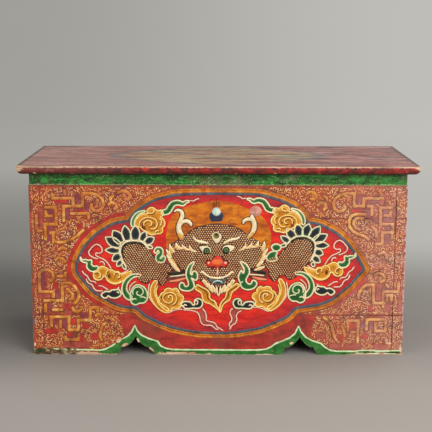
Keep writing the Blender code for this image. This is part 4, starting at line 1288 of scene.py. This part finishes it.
def layGuardian():
    s, g = shoulder, guardian
    lay = partial(layRow, g["layers"])
    halves = g["halves"]
    headRing = ringOf(around(g["head"], g["middle"]), g["bodyStep"])
    bodyRings = [ringOf(body, g["bodyStep"]) for body in (s["body"], mirrored(s["body"], s["up"]))]
    petals = [petal(*values) for values in s["petals"] + s["rightPetals"]]
    lay("petalFills", petals)
    rings = [s["ring"], mirrored(s["ring"], s["up"] + 1, -1)]
    lines = [piped(ring, halves["ring"]) for ring in rings]
    lines += [piped(outline, halves["petal"], True) for outline in petals]
    lay("scaledBodies", bodyRings)
    lay("guardianHead", [headRing])
    eyeRings = [ringOf(ring, g["fineStep"]) for ring in (*g["eyes"], g["thirdEye"])]
    noseRing = ringOf(g["nose"], g["lineStep"])
    chinRing = ringOf(g["chin"], g["lineStep"])
    bodyForm, headForm = g["layers"]["scaledBodies"][1:4], g["layers"]["guardianHead"][1:4]
    layScales("bodyScales", bodyRings, [headRing], bodyForm, *g["scales"]["body"])
    lay("ringShadows", [piped(inward(ring, s["inner"]), halves["inner"]) for ring in rings])
    keepOff = eyeRings + [noseRing, chinRing]
    layScales("headScales", [headRing], keepOff, headForm, *g["scales"]["head"])
    lay("eyeWhites", eyeRings)
    for name, discs in g["eyeDiscs"].items():
        lay(name, [disc(*values) for values in discs])
    lay("redNose", [noseRing])
    for name, discs in g["noseDiscs"].items():
        lay(name, [disc(*values) for values in discs])
    lay("darkChin", [chinRing])
    lay("tongue", [piped(g["tongue"], halves["tongue"])])
    roots = [swelling(run) for run in g["hornRoots"]]
    lay("hornRoots", roots)
    horns = [swelling(run) for run in g["horns"] + g["branches"]]
    lay("horns", horns)
    lay("hornShadows", outlined(horns + roots, halves["hornShadow"]))
    fins = [*g["fins"], *g["rightFins"], *g["beard"]]
    fins += [mirrored(fin, 0.0, g["beardOver"]) for fin in g["beard"]]
    fins = [ringOf(grown(fin, g["finShare"]), g["fineStep"]) for fin in fins]
    bases = strokesOf(g["earBases"], g["lineStep"])
    lay("earBases", bases)
    lay("earShadows", widened(bases, halves["earShadow"]))
    lay("flames", fins)
    lay("flameShadows", outlined(fins, halves["flameShadow"]))
    brows = strokesOf((*g["brows"], g["mouth"]), g["fineStep"])
    lay("browsAndMouth", brows)
    lay("browShadows", widened(brows, halves["browShadow"]))
    lay("noseLine", [piped(g["septum"], halves["septum"])])
    return lines


creamLines = layGuardian()
print("guardian laid")

# Clouds, ribbons and curls: the left side of what lies on both, each a group of shapes
curls = {
    # how far the right side lies higher, by the start of a group's name
    "raised": (("top", 6.0), ("sideDark", 9.0), ("side", 11.0), ("green", 6.0), ("gold", 5.0),
        ("low", 0.0)),
    "topCloud": (
        ((-199, 322), (-197, 333), (-190, 343), (-180, 350), (-169, 351), (-169, 359), (-163, 365),
         (-155, 366), (-148, 361), (-143, 358), (-137, 360), (-131, 355), (-131, 347), (-138, 343),
         (-131, 339), (-127, 331), (-128, 322), (-133, 317), (-132, 309), (-138, 303), (-148, 302),
         (-157, 300), (-166, 303), (-172, 309), (-180, 312), (-186, 318)),
    ),
    "topCloudLines": (
        ((-188, 319), (-187, 330), (-180, 338), (-170, 342), (-158, 341), (-149, 336), (-145, 328),
         (-147, 319), (-154, 314), (-162, 315)),
        ((-176, 320), (-177, 328), (-171, 334), (-163, 334), (-158, 329), (-160, 323), (-166, 322)),
        ((-168, 353), (-160, 352), (-154, 354), (-152, 359), (-157, 361)),
        ((-141, 340), (-135, 335), (-136, 326), (-139, 320)), ((-150, 304), (-147, 310), (-139, 309)),
    ),
    "topShades": (
        ((-184, 325), (-180, 331), (-174, 327), (-173, 318), (-168, 311), (-174, 307), (-180, 312)),
        ((-152, 331), (-149, 325), (-152, 318), (-156, 320), (-155, 327)),
    ),
    "topArc": (((-203, 322, 4), (-203, 333, 4), (-197, 345, 4), (-188, 353, 3), (-175, 357, 2)),),
    "topTail": (
        ((-131, 354, 6), (-120, 357, 6.5), (-114, 366, 6.5), (-107, 375, 6), (-95, 378, 5.5),
         (-84, 375, 4.5), (-76, 380, 3), (-70, 381, 2)),
    ),
    "topWisp": (((-68, 382), (-65, 383), (-58, 382), (-52, 386), (-44, 388)),),
    "sideCloud": (
        ((-300, 199), (-298, 208), (-291, 212), (-286, 219), (-277, 222), (-268, 218), (-262, 214),
         (-254, 213), (-248, 209), (-240, 209), (-233, 203), (-222, 206), (-208, 210), (-212, 200),
         (-222, 192), (-231, 185), (-243, 179), (-256, 180), (-266, 187), (-271, 197), (-276, 197),
         (-280, 191), (-289, 188), (-297, 191)),
    ),
    "sideCloudLines": (
        ((-298, 205), (-291, 209), (-284, 205), (-283, 197), (-290, 193)),
        ((-250, 198), (-249, 206), (-243, 207), (-237, 203), (-238, 195), (-244, 193)),
        ((-270, 198), (-268, 209), (-262, 212)), ((-268, 190), (-258, 182), (-243, 181), (-232, 186)),
    ),
    "sideShades": (
        ((-263, 206), (-258, 203), (-257, 193), (-262, 190), (-267, 197)),
        ((-294, 203), (-290, 205), (-287, 201), (-291, 197)),
        ((-246, 203), (-242, 203), (-241, 197), (-245, 197)),
    ),
    "sideLeaf": (
        ((-330, 245), (-326, 238), (-318, 239), (-311, 237), (-304, 238), (-303, 232), (-304, 227),
         (-298, 222), (-290, 223), (-288, 217), (-293, 211), (-302, 209), (-311, 213), (-316, 222),
         (-315, 230), (-323, 232), (-330, 237)),
    ),
    "sideWisps": (
        ((-288, 240), (-300, 244), (-308, 250), (-310, 258), (-305, 265), (-300, 271), (-292, 276),
         (-283, 273), (-278, 265), (-279, 257), (-286, 254), (-292, 255), (-293, 249), (-285, 244),
         (-274, 239), (-265, 230), (-259, 220), (-256, 215)),
        ((-285, 231), (-279, 234), (-274, 230), (-273, 223)),
        ((-328, 212), (-322, 203), (-315, 198), (-311, 190), (-306, 185), (-298, 184), (-293, 179)),
        ((-290, 174), (-280, 173), (-272, 168), (-264, 163)),
        ((-318, 192), (-314, 182), (-304, 176), (-300, 168), (-294, 162), (-284, 161), (-278, 161)),
        ((-235, 203), (-222, 209), (-214, 215)),
    ),
    "sideDark": (
        ((-282, 150), (-278, 156), (-270, 160), (-262, 159), (-257, 163), (-248, 164), (-240, 165),
         (-236, 160), (-234, 152), (-240, 146), (-250, 143), (-260, 145), (-265, 149), (-268, 145),
         (-275, 143)),
    ),
    "sideDarkLines": (((-246, 158), (-240, 158), (-240, 153)), ((-243, 166), (-238, 171))),
    "greenBand": (
        ((-188, 200, 3), (-203, 199, 4), (-216, 191, 5), (-224, 178, 5.5), (-226, 163, 6), (-220, 150, 7),
         (-212, 143, 6)),
    ),
    "greenMass": (
        ((-212, 150), (-210, 160), (-205, 170), (-197, 176), (-187, 175), (-178, 170), (-172, 160),
         (-170, 148), (-172, 138), (-180, 131), (-190, 130), (-199, 126), (-208, 130), (-211, 138)),
    ),
    "greenLines": (
        ((-205, 150), (-206, 160), (-200, 169), (-190, 171), (-182, 165), (-181, 156), (-187, 150),
         (-195, 152), (-196, 158), (-191, 160)),
        ((-208, 137), (-202, 142), (-196, 139)), ((-190, 146), (-180, 146), (-172, 142)),
    ),
    "greenWisp": (((-214, 160), (-212, 172), (-204, 181), (-197, 185)),),
    "goldBand": (
        ((-150, 184, 4), (-156, 172, 5), (-158, 158, 5.5), (-155, 143, 6), (-147, 130, 6.5), (-137, 120, 7),
         (-125, 113, 7)),
    ),
    "goldMass": (
        ((-140, 148), (-137, 155), (-130, 158), (-127, 165), (-118, 168), (-110, 165), (-102, 168),
         (-95, 162), (-93, 154), (-86, 150), (-83, 142), (-87, 136), (-92, 130), (-90, 122), (-97, 117),
         (-108, 118), (-115, 112), (-125, 112), (-133, 118), (-142, 128), (-146, 138)),
    ),
    "goldLines": (
        ((-117, 142), (-120, 148), (-113, 150), (-109, 143), (-112, 134), (-120, 131), (-128, 134),
         (-133, 142), (-131, 150), (-123, 156), (-112, 157), (-103, 152), (-100, 142), (-103, 132),
         (-111, 126)),
        ((-145, 175), (-149, 160), (-147, 147), (-139, 135)),
    ),
    "goldShades": (
        ((-139, 146), (-135, 151), (-133, 145), (-137, 138)),
        ((-108, 150), (-105, 146), (-106, 138), (-110, 141)),
        ((-128, 127), (-120, 124), (-112, 121), (-120, 119), (-129, 122)),
    ),
    "goldWisp": (
        ((-165, 180), (-168, 165), (-167, 150), (-162, 138), (-150, 122), (-138, 112), (-122, 106),
         (-108, 112), (-95, 115), (-85, 115)),
    ),
    "lowDark": (
        ((-89, 128), (-84, 134), (-75, 135), (-66, 133), (-60, 126), (-56, 127), (-57, 135), (-53, 141),
         (-46, 142), (-39, 138), (-37, 129), (-41, 121), (-48, 118), (-60, 118), (-70, 117), (-78, 117),
         (-83, 121)),
    ),
    "lowDarkLines": (
        ((-56, 136), (-50, 137), (-49, 131), (-53, 126)), ((-86, 120), (-80, 127), (-74, 124)),
    ),
    "smallCurl": ((-150, 258, 4), (-146, 265, 4), (-138, 263, 5), (-137, 254, 5), (-143, 246, 6),
        (-142, 238, 5.5), (-133, 238, 5), (-130, 245, 4)),
    "rightLeaves": (
        ((128, 270), (134, 277), (145, 277), (151, 270), (146, 262), (135, 261)),
        ((116, 245), (122, 255), (132, 260), (142, 258), (139, 248), (142, 240), (132, 236), (120, 237)),
    ),
    "moustaches": (
        ((-58, 234), (-65, 230), (-71, 224), (-75, 214), (-77, 203), (-75, 193), (-72, 185), (-71, 178),
         (-75, 173), (-80, 174), (-82, 180), (-87, 183), (-92, 179), (-93, 171), (-89, 165), (-80, 162),
         (-69, 162), (-61, 166), (-57, 173), (-58, 181), (-61, 188), (-64, 194), (-60, 192), (-55, 188),
         (-50, 192), (-49, 201), (-52, 209), (-58, 211), (-62, 207), (-62, 202), (-66, 204), (-65, 213),
         (-62, 222), (-58, 229)),
        ((54, 235), (61, 233), (69, 227), (74, 219), (76, 209), (73, 201), (69, 194), (68, 187), (72, 181),
         (77, 179), (81, 182), (83, 188), (89, 188), (94, 181), (91, 173), (83, 167), (71, 165), (61, 168),
         (55, 175), (54, 182), (51, 188), (49, 196), (51, 204), (54, 211), (58, 212), (59, 207), (62, 207),
         (63, 215), (60, 222), (56, 229)),
    ),
    "moustacheLines": (((54, 182), (58, 184), (61, 187)),),
    "cheekGrounds": (
        ((-120, 209), (-100, 213), (-80, 217), (-75, 205), (-74, 192), (-96, 184), (-119, 181)),
        ((76, 220), (96, 216), (117, 212), (118, 198), (118, 186), (98, 188), (74, 196)),
    ),
    "cheekBars": (
        ((-118, 203, 3), (-99, 205, 4), (-79, 211, 3)), ((79, 215, 3), (96, 210, 4), (114, 206, 3)),
    ),
    "cheekCream": (((-117, 197), (-97, 199), (-77, 202)), ((72, 203), (92, 202), (112, 200))),
    "cheekOrange": (
        ((-116, 185, 1.8), (-96, 188, 2.6), (-78, 193, 2.2)), ((84, 196, 2), (100, 192, 3), (116, 190, 2)),
    ),
    "beardRibbons": (
        ((-55, 167), (-47, 161), (-40, 156), (-38, 147), (-35, 138), (-28, 132), (-20, 130), (-13, 125),
         (-6, 120), (1, 114), (6, 108), (4, 116), (-3, 124), (-5, 131), (-9, 137), (-17, 140), (-20, 146),
         (-20, 154), (-24, 162), (-33, 168), (-43, 173), (-50, 177)),
        ((52, 176), (46, 168), (38, 162), (33, 156), (31, 147), (28, 139), (20, 134), (14, 129), (10, 121),
         (6, 108), (4, 114), (5, 124), (8, 132), (13, 139), (18, 144), (20, 152), (22, 160), (28, 167),
         (36, 174), (45, 180)),
    ),
    "ribbonFolds": (
        ((-49, 172), (-38, 166), (-28, 160), (-25, 150), (-24, 143), (-16, 136), (-9, 130)),
        ((47, 174), (36, 167), (27, 160), (25, 150), (21, 142), (13, 133), (9, 125)),
    ),
    "lowRibbons": (
        ((-85, 114), (-70, 113), (-55, 110), (-47, 104), (-44, 95), (-42, 85), (-36, 77), (-27, 75),
         (-17, 75), (-10, 70), (-4, 65), (3, 66)),
        ((-38, 118), (-31, 109), (-28, 98), (-28, 88), (-22, 85), (-13, 83), (-6, 79), (-2, 71), (4, 68),
         (10, 63), (14, 61)),
        ((58, 112), (50, 108), (45, 100), (46, 90), (43, 81), (36, 76), (31, 70), (28, 63)),
        ((37, 118), (31, 113), (30, 103), (34, 94), (33, 86), (28, 80), (29, 72), (33, 66)),
    ),
    "lossPatch": ((75, 356), (79, 366), (88, 371), (98, 368), (104, 358), (98, 348), (86, 345)),
    "jewelBase": ((-20, 351), (-19, 339), (-14, 333), (6, 333), (11, 339), (12, 351), (-4, 356)),
    "jewel": (-4, 356, 10.5),
    "jewelLines": (
        ((-4, 368), (-4, 380), (-4, 394)), ((-10, 366), (-11, 374), (-9, 382)),
        ((2, 366), (3, 374), (1, 382)),
    ),
    "lineHalf": 2.1, "fineHalf": 1.9, "wispHalf": 2.1, "foldHalf": 1.6, "cheekHalf": 1.8, "jewelHalf": 0.9,
    "contour": 1.2, "creaseShift": (1.1, -1.9, 0.4),
    "layers": {
        "goldClouds": ("gold", 1.0, 1.1, 3.0, 4.0, 10.0), "goldBands": ("gold", 1.2, 0.9, 3.0, 3.5, 6.0),
        "goldCreases": ("thin", "crease", 2.0), "goldShades": ("crease", 2.0, 0.2, 3.0, 3.0),
        "goldCloudLines": ("round", "paleGold", 1.3), "greenLeaves": ("green", 1.3, 1.1, 5.0, 3.5, 6.0),
        "moustaches": ("green", 2.6, 1.2, 5.0, 3.5, 6.0), "moustacheRims": ("round", "cream", 2.7),
        "moustacheShadows": ("thin", "shadow", 2.5), "slateClouds": ("slate", 1.1, 0.9, 5.0, 3.5, 5.0),
        "cheekGrounds": ("edge", 0.75, 0.2, 4.0, 4.0), "cheekBars": ("dark", 1.8, 0.8, 3.0, 3.0),
        "creamLines": ("round", "cream", 1.4), "pinkWisps": ("round", "pink", 0.7),
        "darkContours": ("thin", "shadow", 0.6), "cheekStripes": ("salmon", 1.6, 1.0, 3.0, 3.0),
        "ribbonFolds": ("rose", 0.65, 0.0, 5.0, 5.0), "flakedSpot": ("loss", 1.0, 0.3, 3.0, 4.0),
        "jewelBase": ("navy", 1.2, 0.4, 4.0, 4.0), "jewel": ("mint", 1.6, 4.0, 10.5, 2.5),
        "jewelLines": ("round", "crease", 0.8),
    },
}


def both(*keys):
    # each shape of these groups and its mirror image
    shapes = []
    for key in keys:
        up = next(up for start, up in curls["raised"] if key.startswith(start))
        for shape in curls[key]:
            shapes += [list(shape), mirrored(shape, up)]
    return shapes


def layCurls():
    c = curls
    lay = partial(layRow, c["layers"])
    half, fine = c["lineHalf"], c["fineHalf"]

    def rings(shapes):
        return [ringOf(shape) for shape in shapes]

    def bands(shapes):
        return [swelling(shape) for shape in shapes]

    def rims(shapes):
        return [piped(shape, half, True) for shape in shapes]

    def lines(shapes, width=fine):
        return [piped(shape, width) for shape in shapes]

    gold = rings(both("topCloud", "sideCloud", "goldMass"))
    ribbons = bands(both("goldBand")) + rings(c["beardRibbons"])
    lay("goldClouds", gold)
    lay("goldBands", ribbons)
    inner = lines(both("topCloudLines", "sideCloudLines", "goldLines"))
    # painted shadows: dark copies of the inner pale lines, shifted down and to the right
    lineShadows = [([spot + Vector(c["creaseShift"]) for spot in line], closed) for line, closed in inner]
    lay("goldCreases", lineShadows + lines(c["ribbonFolds"], c["foldHalf"]))
    lay("goldShades", rings(both("topShades", "sideShades", "goldShades")))
    paleGold = rims(gold + ribbons) + inner
    lay("goldCloudLines", paleGold)
    green = rings(both("sideLeaf", "greenMass") + list(c["rightLeaves"]))
    green += bands(both("topTail", "greenBand", "topArc") + [c["smallCurl"]])
    lay("greenLeaves", green)
    cheeks = rings(c["moustaches"])
    lay("moustaches", cheeks)
    cheekRims = rims(cheeks) + lines(c["moustacheLines"])
    lay("moustacheRims", cheekRims)
    lay("moustacheShadows", widened(cheekRims, c["contour"]))
    slate = rings(both("sideDark", "lowDark"))
    lay("slateClouds", slate)
    lay("cheekGrounds", rings(c["cheekGrounds"]))
    lay("cheekBars", bands(c["cheekBars"]))
    cream = creamLines + rims(green) + lines(both("greenLines")) + rims(slate)
    cream += lines(both("sideDarkLines", "lowDarkLines")) + lines(c["cheekCream"], c["cheekHalf"])
    lay("creamLines", cream)
    pink = lines(both("sideWisps"), c["wispHalf"]) + lines(both("topWisp", "greenWisp", "goldWisp"))
    pink += lines(c["lowRibbons"], c["wispHalf"])
    lay("pinkWisps", pink)
    # painted shade: dark contours round the raised cream, gold and pink lines
    lay("darkContours", widened(cream + paleGold + pink, c["contour"]))
    lay("cheekStripes", bands(c["cheekOrange"]))
    first, second, third, fourth = c["lowRibbons"]
    lay("ribbonFolds", [first[3:] + second[::-1], third + fourth[::-1]])
    lay("flakedSpot", rings([c["lossPatch"]]))
    lay("jewelBase", rings([c["jewelBase"]]))
    lay("jewel", [disc(*c["jewel"])])
    lay("jewelLines", lines(c["jewelLines"], c["jewelHalf"]))


layCurls()
print("clouds and curls laid")

# Key fret bands, plain fills between them and fine scrolls around them
fret = {
    "left": (
        ((-394, 401), (-394, 388), (-345, 388), (-345, 369), (-322, 369), (-322, 400), (-302, 400),
         (-287, 396), (-276, 387), (-272, 374), (-276, 363), (-285, 357), (-295, 358), (-302, 366),
         (-300, 376)),
        ((-364, 409), (-364, 395)), ((-413, 366), (-386, 366), (-386, 325), (-413, 325), (-413, 286)),
        ((-410, 360), (-410, 345), (-393, 345)), ((-433, 350), (-433, 308), (-419, 308)),
        ((-404, 304), (-394, 304), (-394, 281), (-368, 281), (-350, 288), (-334, 299), (-320, 313)),
        ((-368, 331), (-368, 369), (-348, 369)), ((-352, 351), (-309, 351), (-309, 337)),
        ((-398, 143), (-398, 158), (-431, 158), (-431, 204), (-423, 212), (-409, 213), (-399, 206),
         (-396, 195), (-402, 186), (-411, 188)),
        ((-389, 197), (-368, 197), (-368, 208)),
        ((-423, 136), (-376, 136), (-376, 180), (-358, 180), (-346, 172), (-338, 159), (-336, 146),
         (-341, 134), (-351, 128)),
        ((-366, 166), (-358, 160), (-351, 152), (-352, 142), (-360, 138)), ((-418, 129), (-418, 107)),
        ((-402, 113), (-376, 113)), ((-383, 88), (-383, 67)),
        ((-405, 70), (-405, 95), (-362, 95), (-362, 62), (-339, 62), (-339, 87), (-310, 87), (-310, 119),
         (-292, 119), (-292, 108)),
        ((-330, 123), (-332, 113), (-341, 108), (-350, 112), (-353, 121)),
        ((-372, 48), (-372, 37), (-340, 37), (-340, 55)),
        ((-268, 84), (-279, 75), (-285, 62), (-287, 48), (-284, 34)),
        ((-298, 97), (-292, 103), (-284, 100), (-284, 92)),
        ((-392, 236), (-383, 243), (-372, 240), (-366, 232)),
        ((-238, 401), (-227, 406), (-214, 402), (-208, 393), (-214, 385), (-224, 387)),
        ((-262, 371), (-254, 378), (-244, 375), (-241, 366), (-248, 361)),
        ((-246, 395), (-255, 390), (-256, 382)), ((-384, 262), (-372, 268), (-362, 263)),
    ),
    "right": (
        ((300, 376), (303, 366), (296, 358), (286, 357), (277, 363), (274, 376), (278, 388), (288, 396),
         (304, 401), (323, 401), (323, 370), (346, 370), (346, 389), (394, 389)),
        ((366, 347), (366, 370), (353, 370)), ((415, 366), (387, 366), (387, 326), (416, 326), (416, 290)),
        ((411, 360), (411, 347), (394, 347)), ((420, 306), (393, 306), (393, 278), (376, 278)),
        ((353, 350), (330, 351), (317, 346), (312, 334), (314, 320), (322, 309), (335, 302), (350, 297),
         (362, 288)),
        ((347, 340), (332, 341), (324, 335), (323, 326), (329, 317), (340, 312)),
        ((366, 322), (377, 312), (379, 294)),
        ((339, 142), (341, 156), (348, 169), (358, 177), (376, 177), (376, 131), (406, 131)),
        ((400, 120), (400, 160), (436, 160), (436, 186)), ((409, 136), (409, 151), (420, 151), (420, 136)),
        ((362, 62), (362, 90), (408, 90), (408, 61), (383, 61), (383, 84)),
        ((316, 60), (316, 87), (341, 87), (341, 30)),
        ((255, 97), (268, 86), (277, 74), (281, 58), (285, 42), (297, 30)),
        ((300, 76), (307, 62), (309, 46)),
        ((376, 200), (385, 206), (396, 204), (402, 196), (399, 186), (390, 184)), ((404, 180), (412, 171)),
        ((322, 58), (335, 58)), ((208, 396), (216, 404), (228, 403), (234, 394), (228, 386), (218, 388)),
        ((236, 370), (243, 379), (254, 377), (258, 367), (251, 360)), ((248, 396), (257, 390), (259, 382)),
        ((384, 252), (396, 258), (406, 251), (403, 241)),
    ),
    "half": 4.1, "edge": 0.8, "bandStep": 12.0,
    "fills": {  # one corner and the opposite one
        "crimson": ((-390, 384, -358, 376), (-342, 362, -312, 355), (-336, 325, -325, 313),
            (-398, 182, -386, 166), (-372, 129, -357, 113), (-422, 64, -390, 53), (-366, 58, -353, 46),
            (-337, 50, -328, 27), (-307, 53, -293, 38), (-330, 80, -315, 67), (-356, 92, -345, 76),
            (316, 363, 342, 355), (295, 50, 304, 36), (350, 52, 366, 42), (318, 81, 333, 66),
            (366, 125, 374, 110)),
        "rose": ((-426, 363, -417, 313), (-433, 152, -405, 142), (-373, 110, -357, 99),
            (-378, 32, -314, 17), (272, 29, 300, 16), (308, 27, 350, 15), (380, 28, 412, 15),
            (383, 386, 394, 373), (383, 180, 395, 138), (407, 125, 420, 110), (240, 55, 262, 42),
            (437, 150, 446, 110)),
        "plum": ((-406, 361, -393, 350), (-363, 363, -354, 336), (-341, 396, -328, 376),
            (-317, 378, -308, 356), (-408, 320, -391, 312), (-409, 302, -399, 284), (-409, 340, -391, 334),
            (-426, 204, -417, 164), (-392, 164, -382, 142), (-414, 127, -402, 117), (-399, 90, -389, 76),
            (-377, 90, -368, 66), (-332, 105, -316, 93), (332, 398, 342, 378), (356, 384, 382, 377),
            (352, 362, 361, 344), (394, 361, 406, 353), (394, 341, 420, 333), (398, 320, 411, 312),
            (400, 300, 411, 280), (348, 85, 357, 70), (369, 84, 377, 66), (371, 344, 382, 330)),
    },
    "seed": 31, "jitter": 1.6, "clear": 6.0, "clearOut": 9.0, "bandLow": 122, "bandTop": (400, 196),
    "topClear": (262, 350),
    "panel": {
        "left": ((-226, 48), (-228, 62), (-235, 80), (-243, 97), (-224, 102), (-204, 102)),
        "right": ((204, 102), (224, 102), (238, 96), (231, 80), (227, 64), (226, 50)),
        "out": 4, "below": 107, "inside": 186, "foot": 222,
    },
    "inside": (446, 10, 416), "grid": (448, 8, 418, 2.0), "corners": ((449, 418), (-449, 418)),
    "gaps": {
        "border": 6.5, "panel": 0.5, "foot": 3.0, "band": 0.2, "clear": 2.0, "fill": 0.2, "seam": 0.6,
    },
    "worms": {
        "half": 1.35, "swell": (0.85, 1.12), "taper": (0.55, 0.3), "pitch": 3.6, "step": 1.3,
        "starts": 2500, "turn": 6.28, "bend": 0.34, "tighten": 0.03, "fewest": 3, "longest": 12,
        "shortest": (7, 3), "room": 0.9, "own": 0.9, "others": 0.94, "beside": 1.03, "veer": 0.6,
    },
    "layers": {
        "fretBands": ("ridge", "fret", 0.0), "fretEdges": ("thin", "edge", 0.1),
        "crimsonFills": ("crimson", 0.24, 0.0, 3.0, 6.0), "roseFills": ("rose", 0.3, 0.0, 3.0, 6.0),
        "plumFills": ("plum", 0.36, 0.0, 3.0, 6.0), "clearRedBand": ("thin", "clear", -0.5),
        "lowRedPanel": ("low", 0.2, 0.0, 5.0, 8.0), "leftScrolls": ("worm", "tendril", 0.0),
        "rightScrolls": ("worm", "tendril", 0.0),
    },
}


def growWorms(roomAt, wander):
    # short curved worms of gesso, grown side by side until no room is left
    w = fret["worms"]
    pitch, step = w["pitch"], w["step"]
    wide, low, high = fret["inside"]
    cells = {}

    def crowded(x, z, limit):
        column, row = int(x // pitch), int(z // pitch)
        for across in (column - 1, column, column + 1):
            for level in (row - 1, row, row + 1):
                for other in cells.get((across, level), ()):
                    if math.hypot(other[0] - x, other[1] - z) < limit:
                        return True
        return False

    def grow(x, z, heading, bend, tighten, before):
        line = []
        for index in range(wander.randint(w["fewest"], w["longest"])):
            heading += bend * step
            bend += tighten
            x, z = x + step * math.cos(heading), z + step * math.sin(heading)
            own = min([math.hypot(x - a, z - b) for a, b in (before + line)[:-3]], default=pitch)
            if roomAt(x, z) < w["room"] or own < pitch * w["own"] or crowded(x, z, pitch * w["others"]):
                break
            line.append((x, z))
        return line

    def besides(line):
        # places for the next worms, on both sides of this one
        spots = []
        for (x, z), (after, level) in list(zip(line, line[1:]))[::2]:
            along = math.atan2(level - z, after - x)
            spots += [(x - reach * math.sin(along), z + reach * math.cos(along))
                      for reach in (-w["beside"] * pitch, w["beside"] * pitch)]
        return spots

    worms = []
    for shortest in w["shortest"]:  # long ones first, short ones in what is left
        waiting = [(wander.uniform(-wide, wide), wander.uniform(low, high), wander.uniform(0, w["turn"]))
                   for index in range(w["starts"])]
        waiting += [(*spot, wander.uniform(0, w["turn"])) for worm in worms for spot in besides(worm)]
        while waiting:
            x, z, heading = waiting.pop()
            if roomAt(x, z) < w["room"] or crowded(x, z, pitch):
                continue
            bend = wander.uniform(-1, 1) * w["bend"]
            tighten = math.copysign(w["tighten"], bend) * wander.uniform(0, 1)
            ahead = grow(x, z, heading, bend, tighten, [(x, z)])
            behind = grow(x, z, heading + math.pi, wander.choice((-bend, bend)), 0.0, ahead[::-1] + [(x, z)])
            line = behind[::-1] + [(x, z)] + ahead
            if len(line) < shortest:
                continue
            worms.append(line)
            for spot in line:
                cells.setdefault((int(spot[0] // pitch), int(spot[1] // pitch)), []).append(spot)
            heading = math.atan2(line[-1][1] - line[0][1], line[-1][0] - line[0][0])
            waiting += [(*spot, heading + wander.uniform(-w["veer"], w["veer"])) for spot in besides(line)]
    return worms


def freeRoom(bands, sides, panel):
    # room left on a grid, away from bands, borders, fills and the joints between the boards
    f, gaps = fret, fret["gaps"]
    wide, low, high, step = f["grid"]
    columns = np.arange(-wide, wide + 0.1, step)
    rows = np.arange(low, high + 0.1, step)
    spots = np.array([(x, z) for z in rows for x in columns])
    rim, foot, outline = flat(borderLoop), flat(footing["line"]), flat(panel)
    isOpen = insideOf(spots, np.vstack([foot, f["corners"]]))
    isOpen &= ~insideOf(spots, rim) & ~insideOf(spots, outline)
    free = spots[isOpen]
    x, z = free.T
    across = np.abs(x)
    limits = [farFrom(free, rim) - gaps["border"], farFrom(free, outline) - gaps["panel"]]
    limits.append(farFrom(free, foot, False) - gaps["foot"])
    limits += [farFrom(free, flat(line), False) - f["half"] - gaps["band"] for line, closed in bands]
    limits += [farFrom(free, flat(side), False) - f["clear"] + gaps["clear"] for side in sides]
    for x0, z0, x1, z1 in [box for boxes in f["fills"].values() for box in boxes]:
        beside = np.maximum(np.maximum(min(x0, x1) - x, x - max(x0, x1)), 0)
        above = np.maximum(np.maximum(min(z0, z1) - z, z - max(z0, z1)), 0)
        limits.append(np.hypot(beside, above) - gaps["fill"])
    limits.append(np.abs(across - seams["posts"]) - gaps["seam"])
    limits += [np.abs(z - joint) - gaps["seam"] for joint in seams["joints"]]
    limits += [f["inside"][0] - across, f["inside"][2] - z]
    room = np.full(len(spots), -1.0)
    room[isOpen] = np.min(limits, axis=0)
    table = room.reshape(len(rows), len(columns)).tolist()

    def roomAt(x, z):
        column, row = round((x + wide) / step), round((z - low) / step)
        inside = 0 <= column < len(columns) and 0 <= row < len(rows)
        return table[row][column] if inside else -1.0

    return roomAt


def layFret():
    f = fret
    lay = partial(layRow, f["layers"])
    wander = random.Random(f["seed"])

    def jittered(value):
        return value + wander.uniform(-1, 1) * f["jitter"]

    bands = []
    for run in f["left"] + f["right"]:
        bands.append((straight(run, f["half"], f["bandStep"]) + [Vector((*run[-1], f["half"]))], False))
    lay("fretBands", bands)
    lay("fretEdges", widened(bands, f["edge"]))
    for key, boxes in f["fills"].items():
        rings = []
        for x0, z0, x1, z1 in boxes:
            x, z = (x0 + x1) / 2, (z0 + z1) / 2
            corners = ((x0, z0), (x0, z), (x0, z1), (x, z1), (x1, z1), (x1, z), (x1, z0), (x, z0))
            rings.append([(jittered(out), jittered(up)) for out, up in corners])
        lay(key + "Fills", rings)
    # plain red beside the border, and the plain red panel over the foot
    sides = [[], []]
    aside, under = f["topClear"]
    for spot in pushedOut(loop, cartouche["orangeOut"] + f["clearOut"]):
        onRight = spot.x > 0
        if f["bandLow"] < spot.y < f["bandTop"][onRight] and (abs(spot.x) > aside or spot.y < under):
            sides[onRight].append(Vector((*spot, f["clear"])))
    lay("clearRedBand", [(side, False) for side in sides])
    p = f["panel"]
    over = [spot for spot in pushedOut(loop, cartouche["orangeOut"] + p["out"])
            if spot.y < p["below"] and abs(spot.x) < p["inside"]]
    foot = [spot for spot in reversed(footing["line"]) if abs(spot[0]) < p["foot"]]
    panel = [*p["left"], *over, *p["right"], *foot]
    lay("lowRedPanel", [panel])
    worms = growWorms(freeRoom(bands, sides, panel), wander)
    least, gain = f["worms"]["taper"]
    for name, sign in (("leftScrolls", -1), ("rightScrolls", 1)):
        lines = []
        for worm in worms:
            if worm[0][0] * sign > 0:
                last = len(worm) - 1
                swell = f["worms"]["half"] * wander.uniform(*f["worms"]["swell"])
                lines.append(([Vector((x, z, swell * min(1.0, least + gain * min(index, last - index))))
                               for index, (x, z) in enumerate(worm)], False))
        lay(name, lines)


layFret()
print("fret and scrolls laid")

for section in sections.values():
    bpy.data.objects.remove(section)
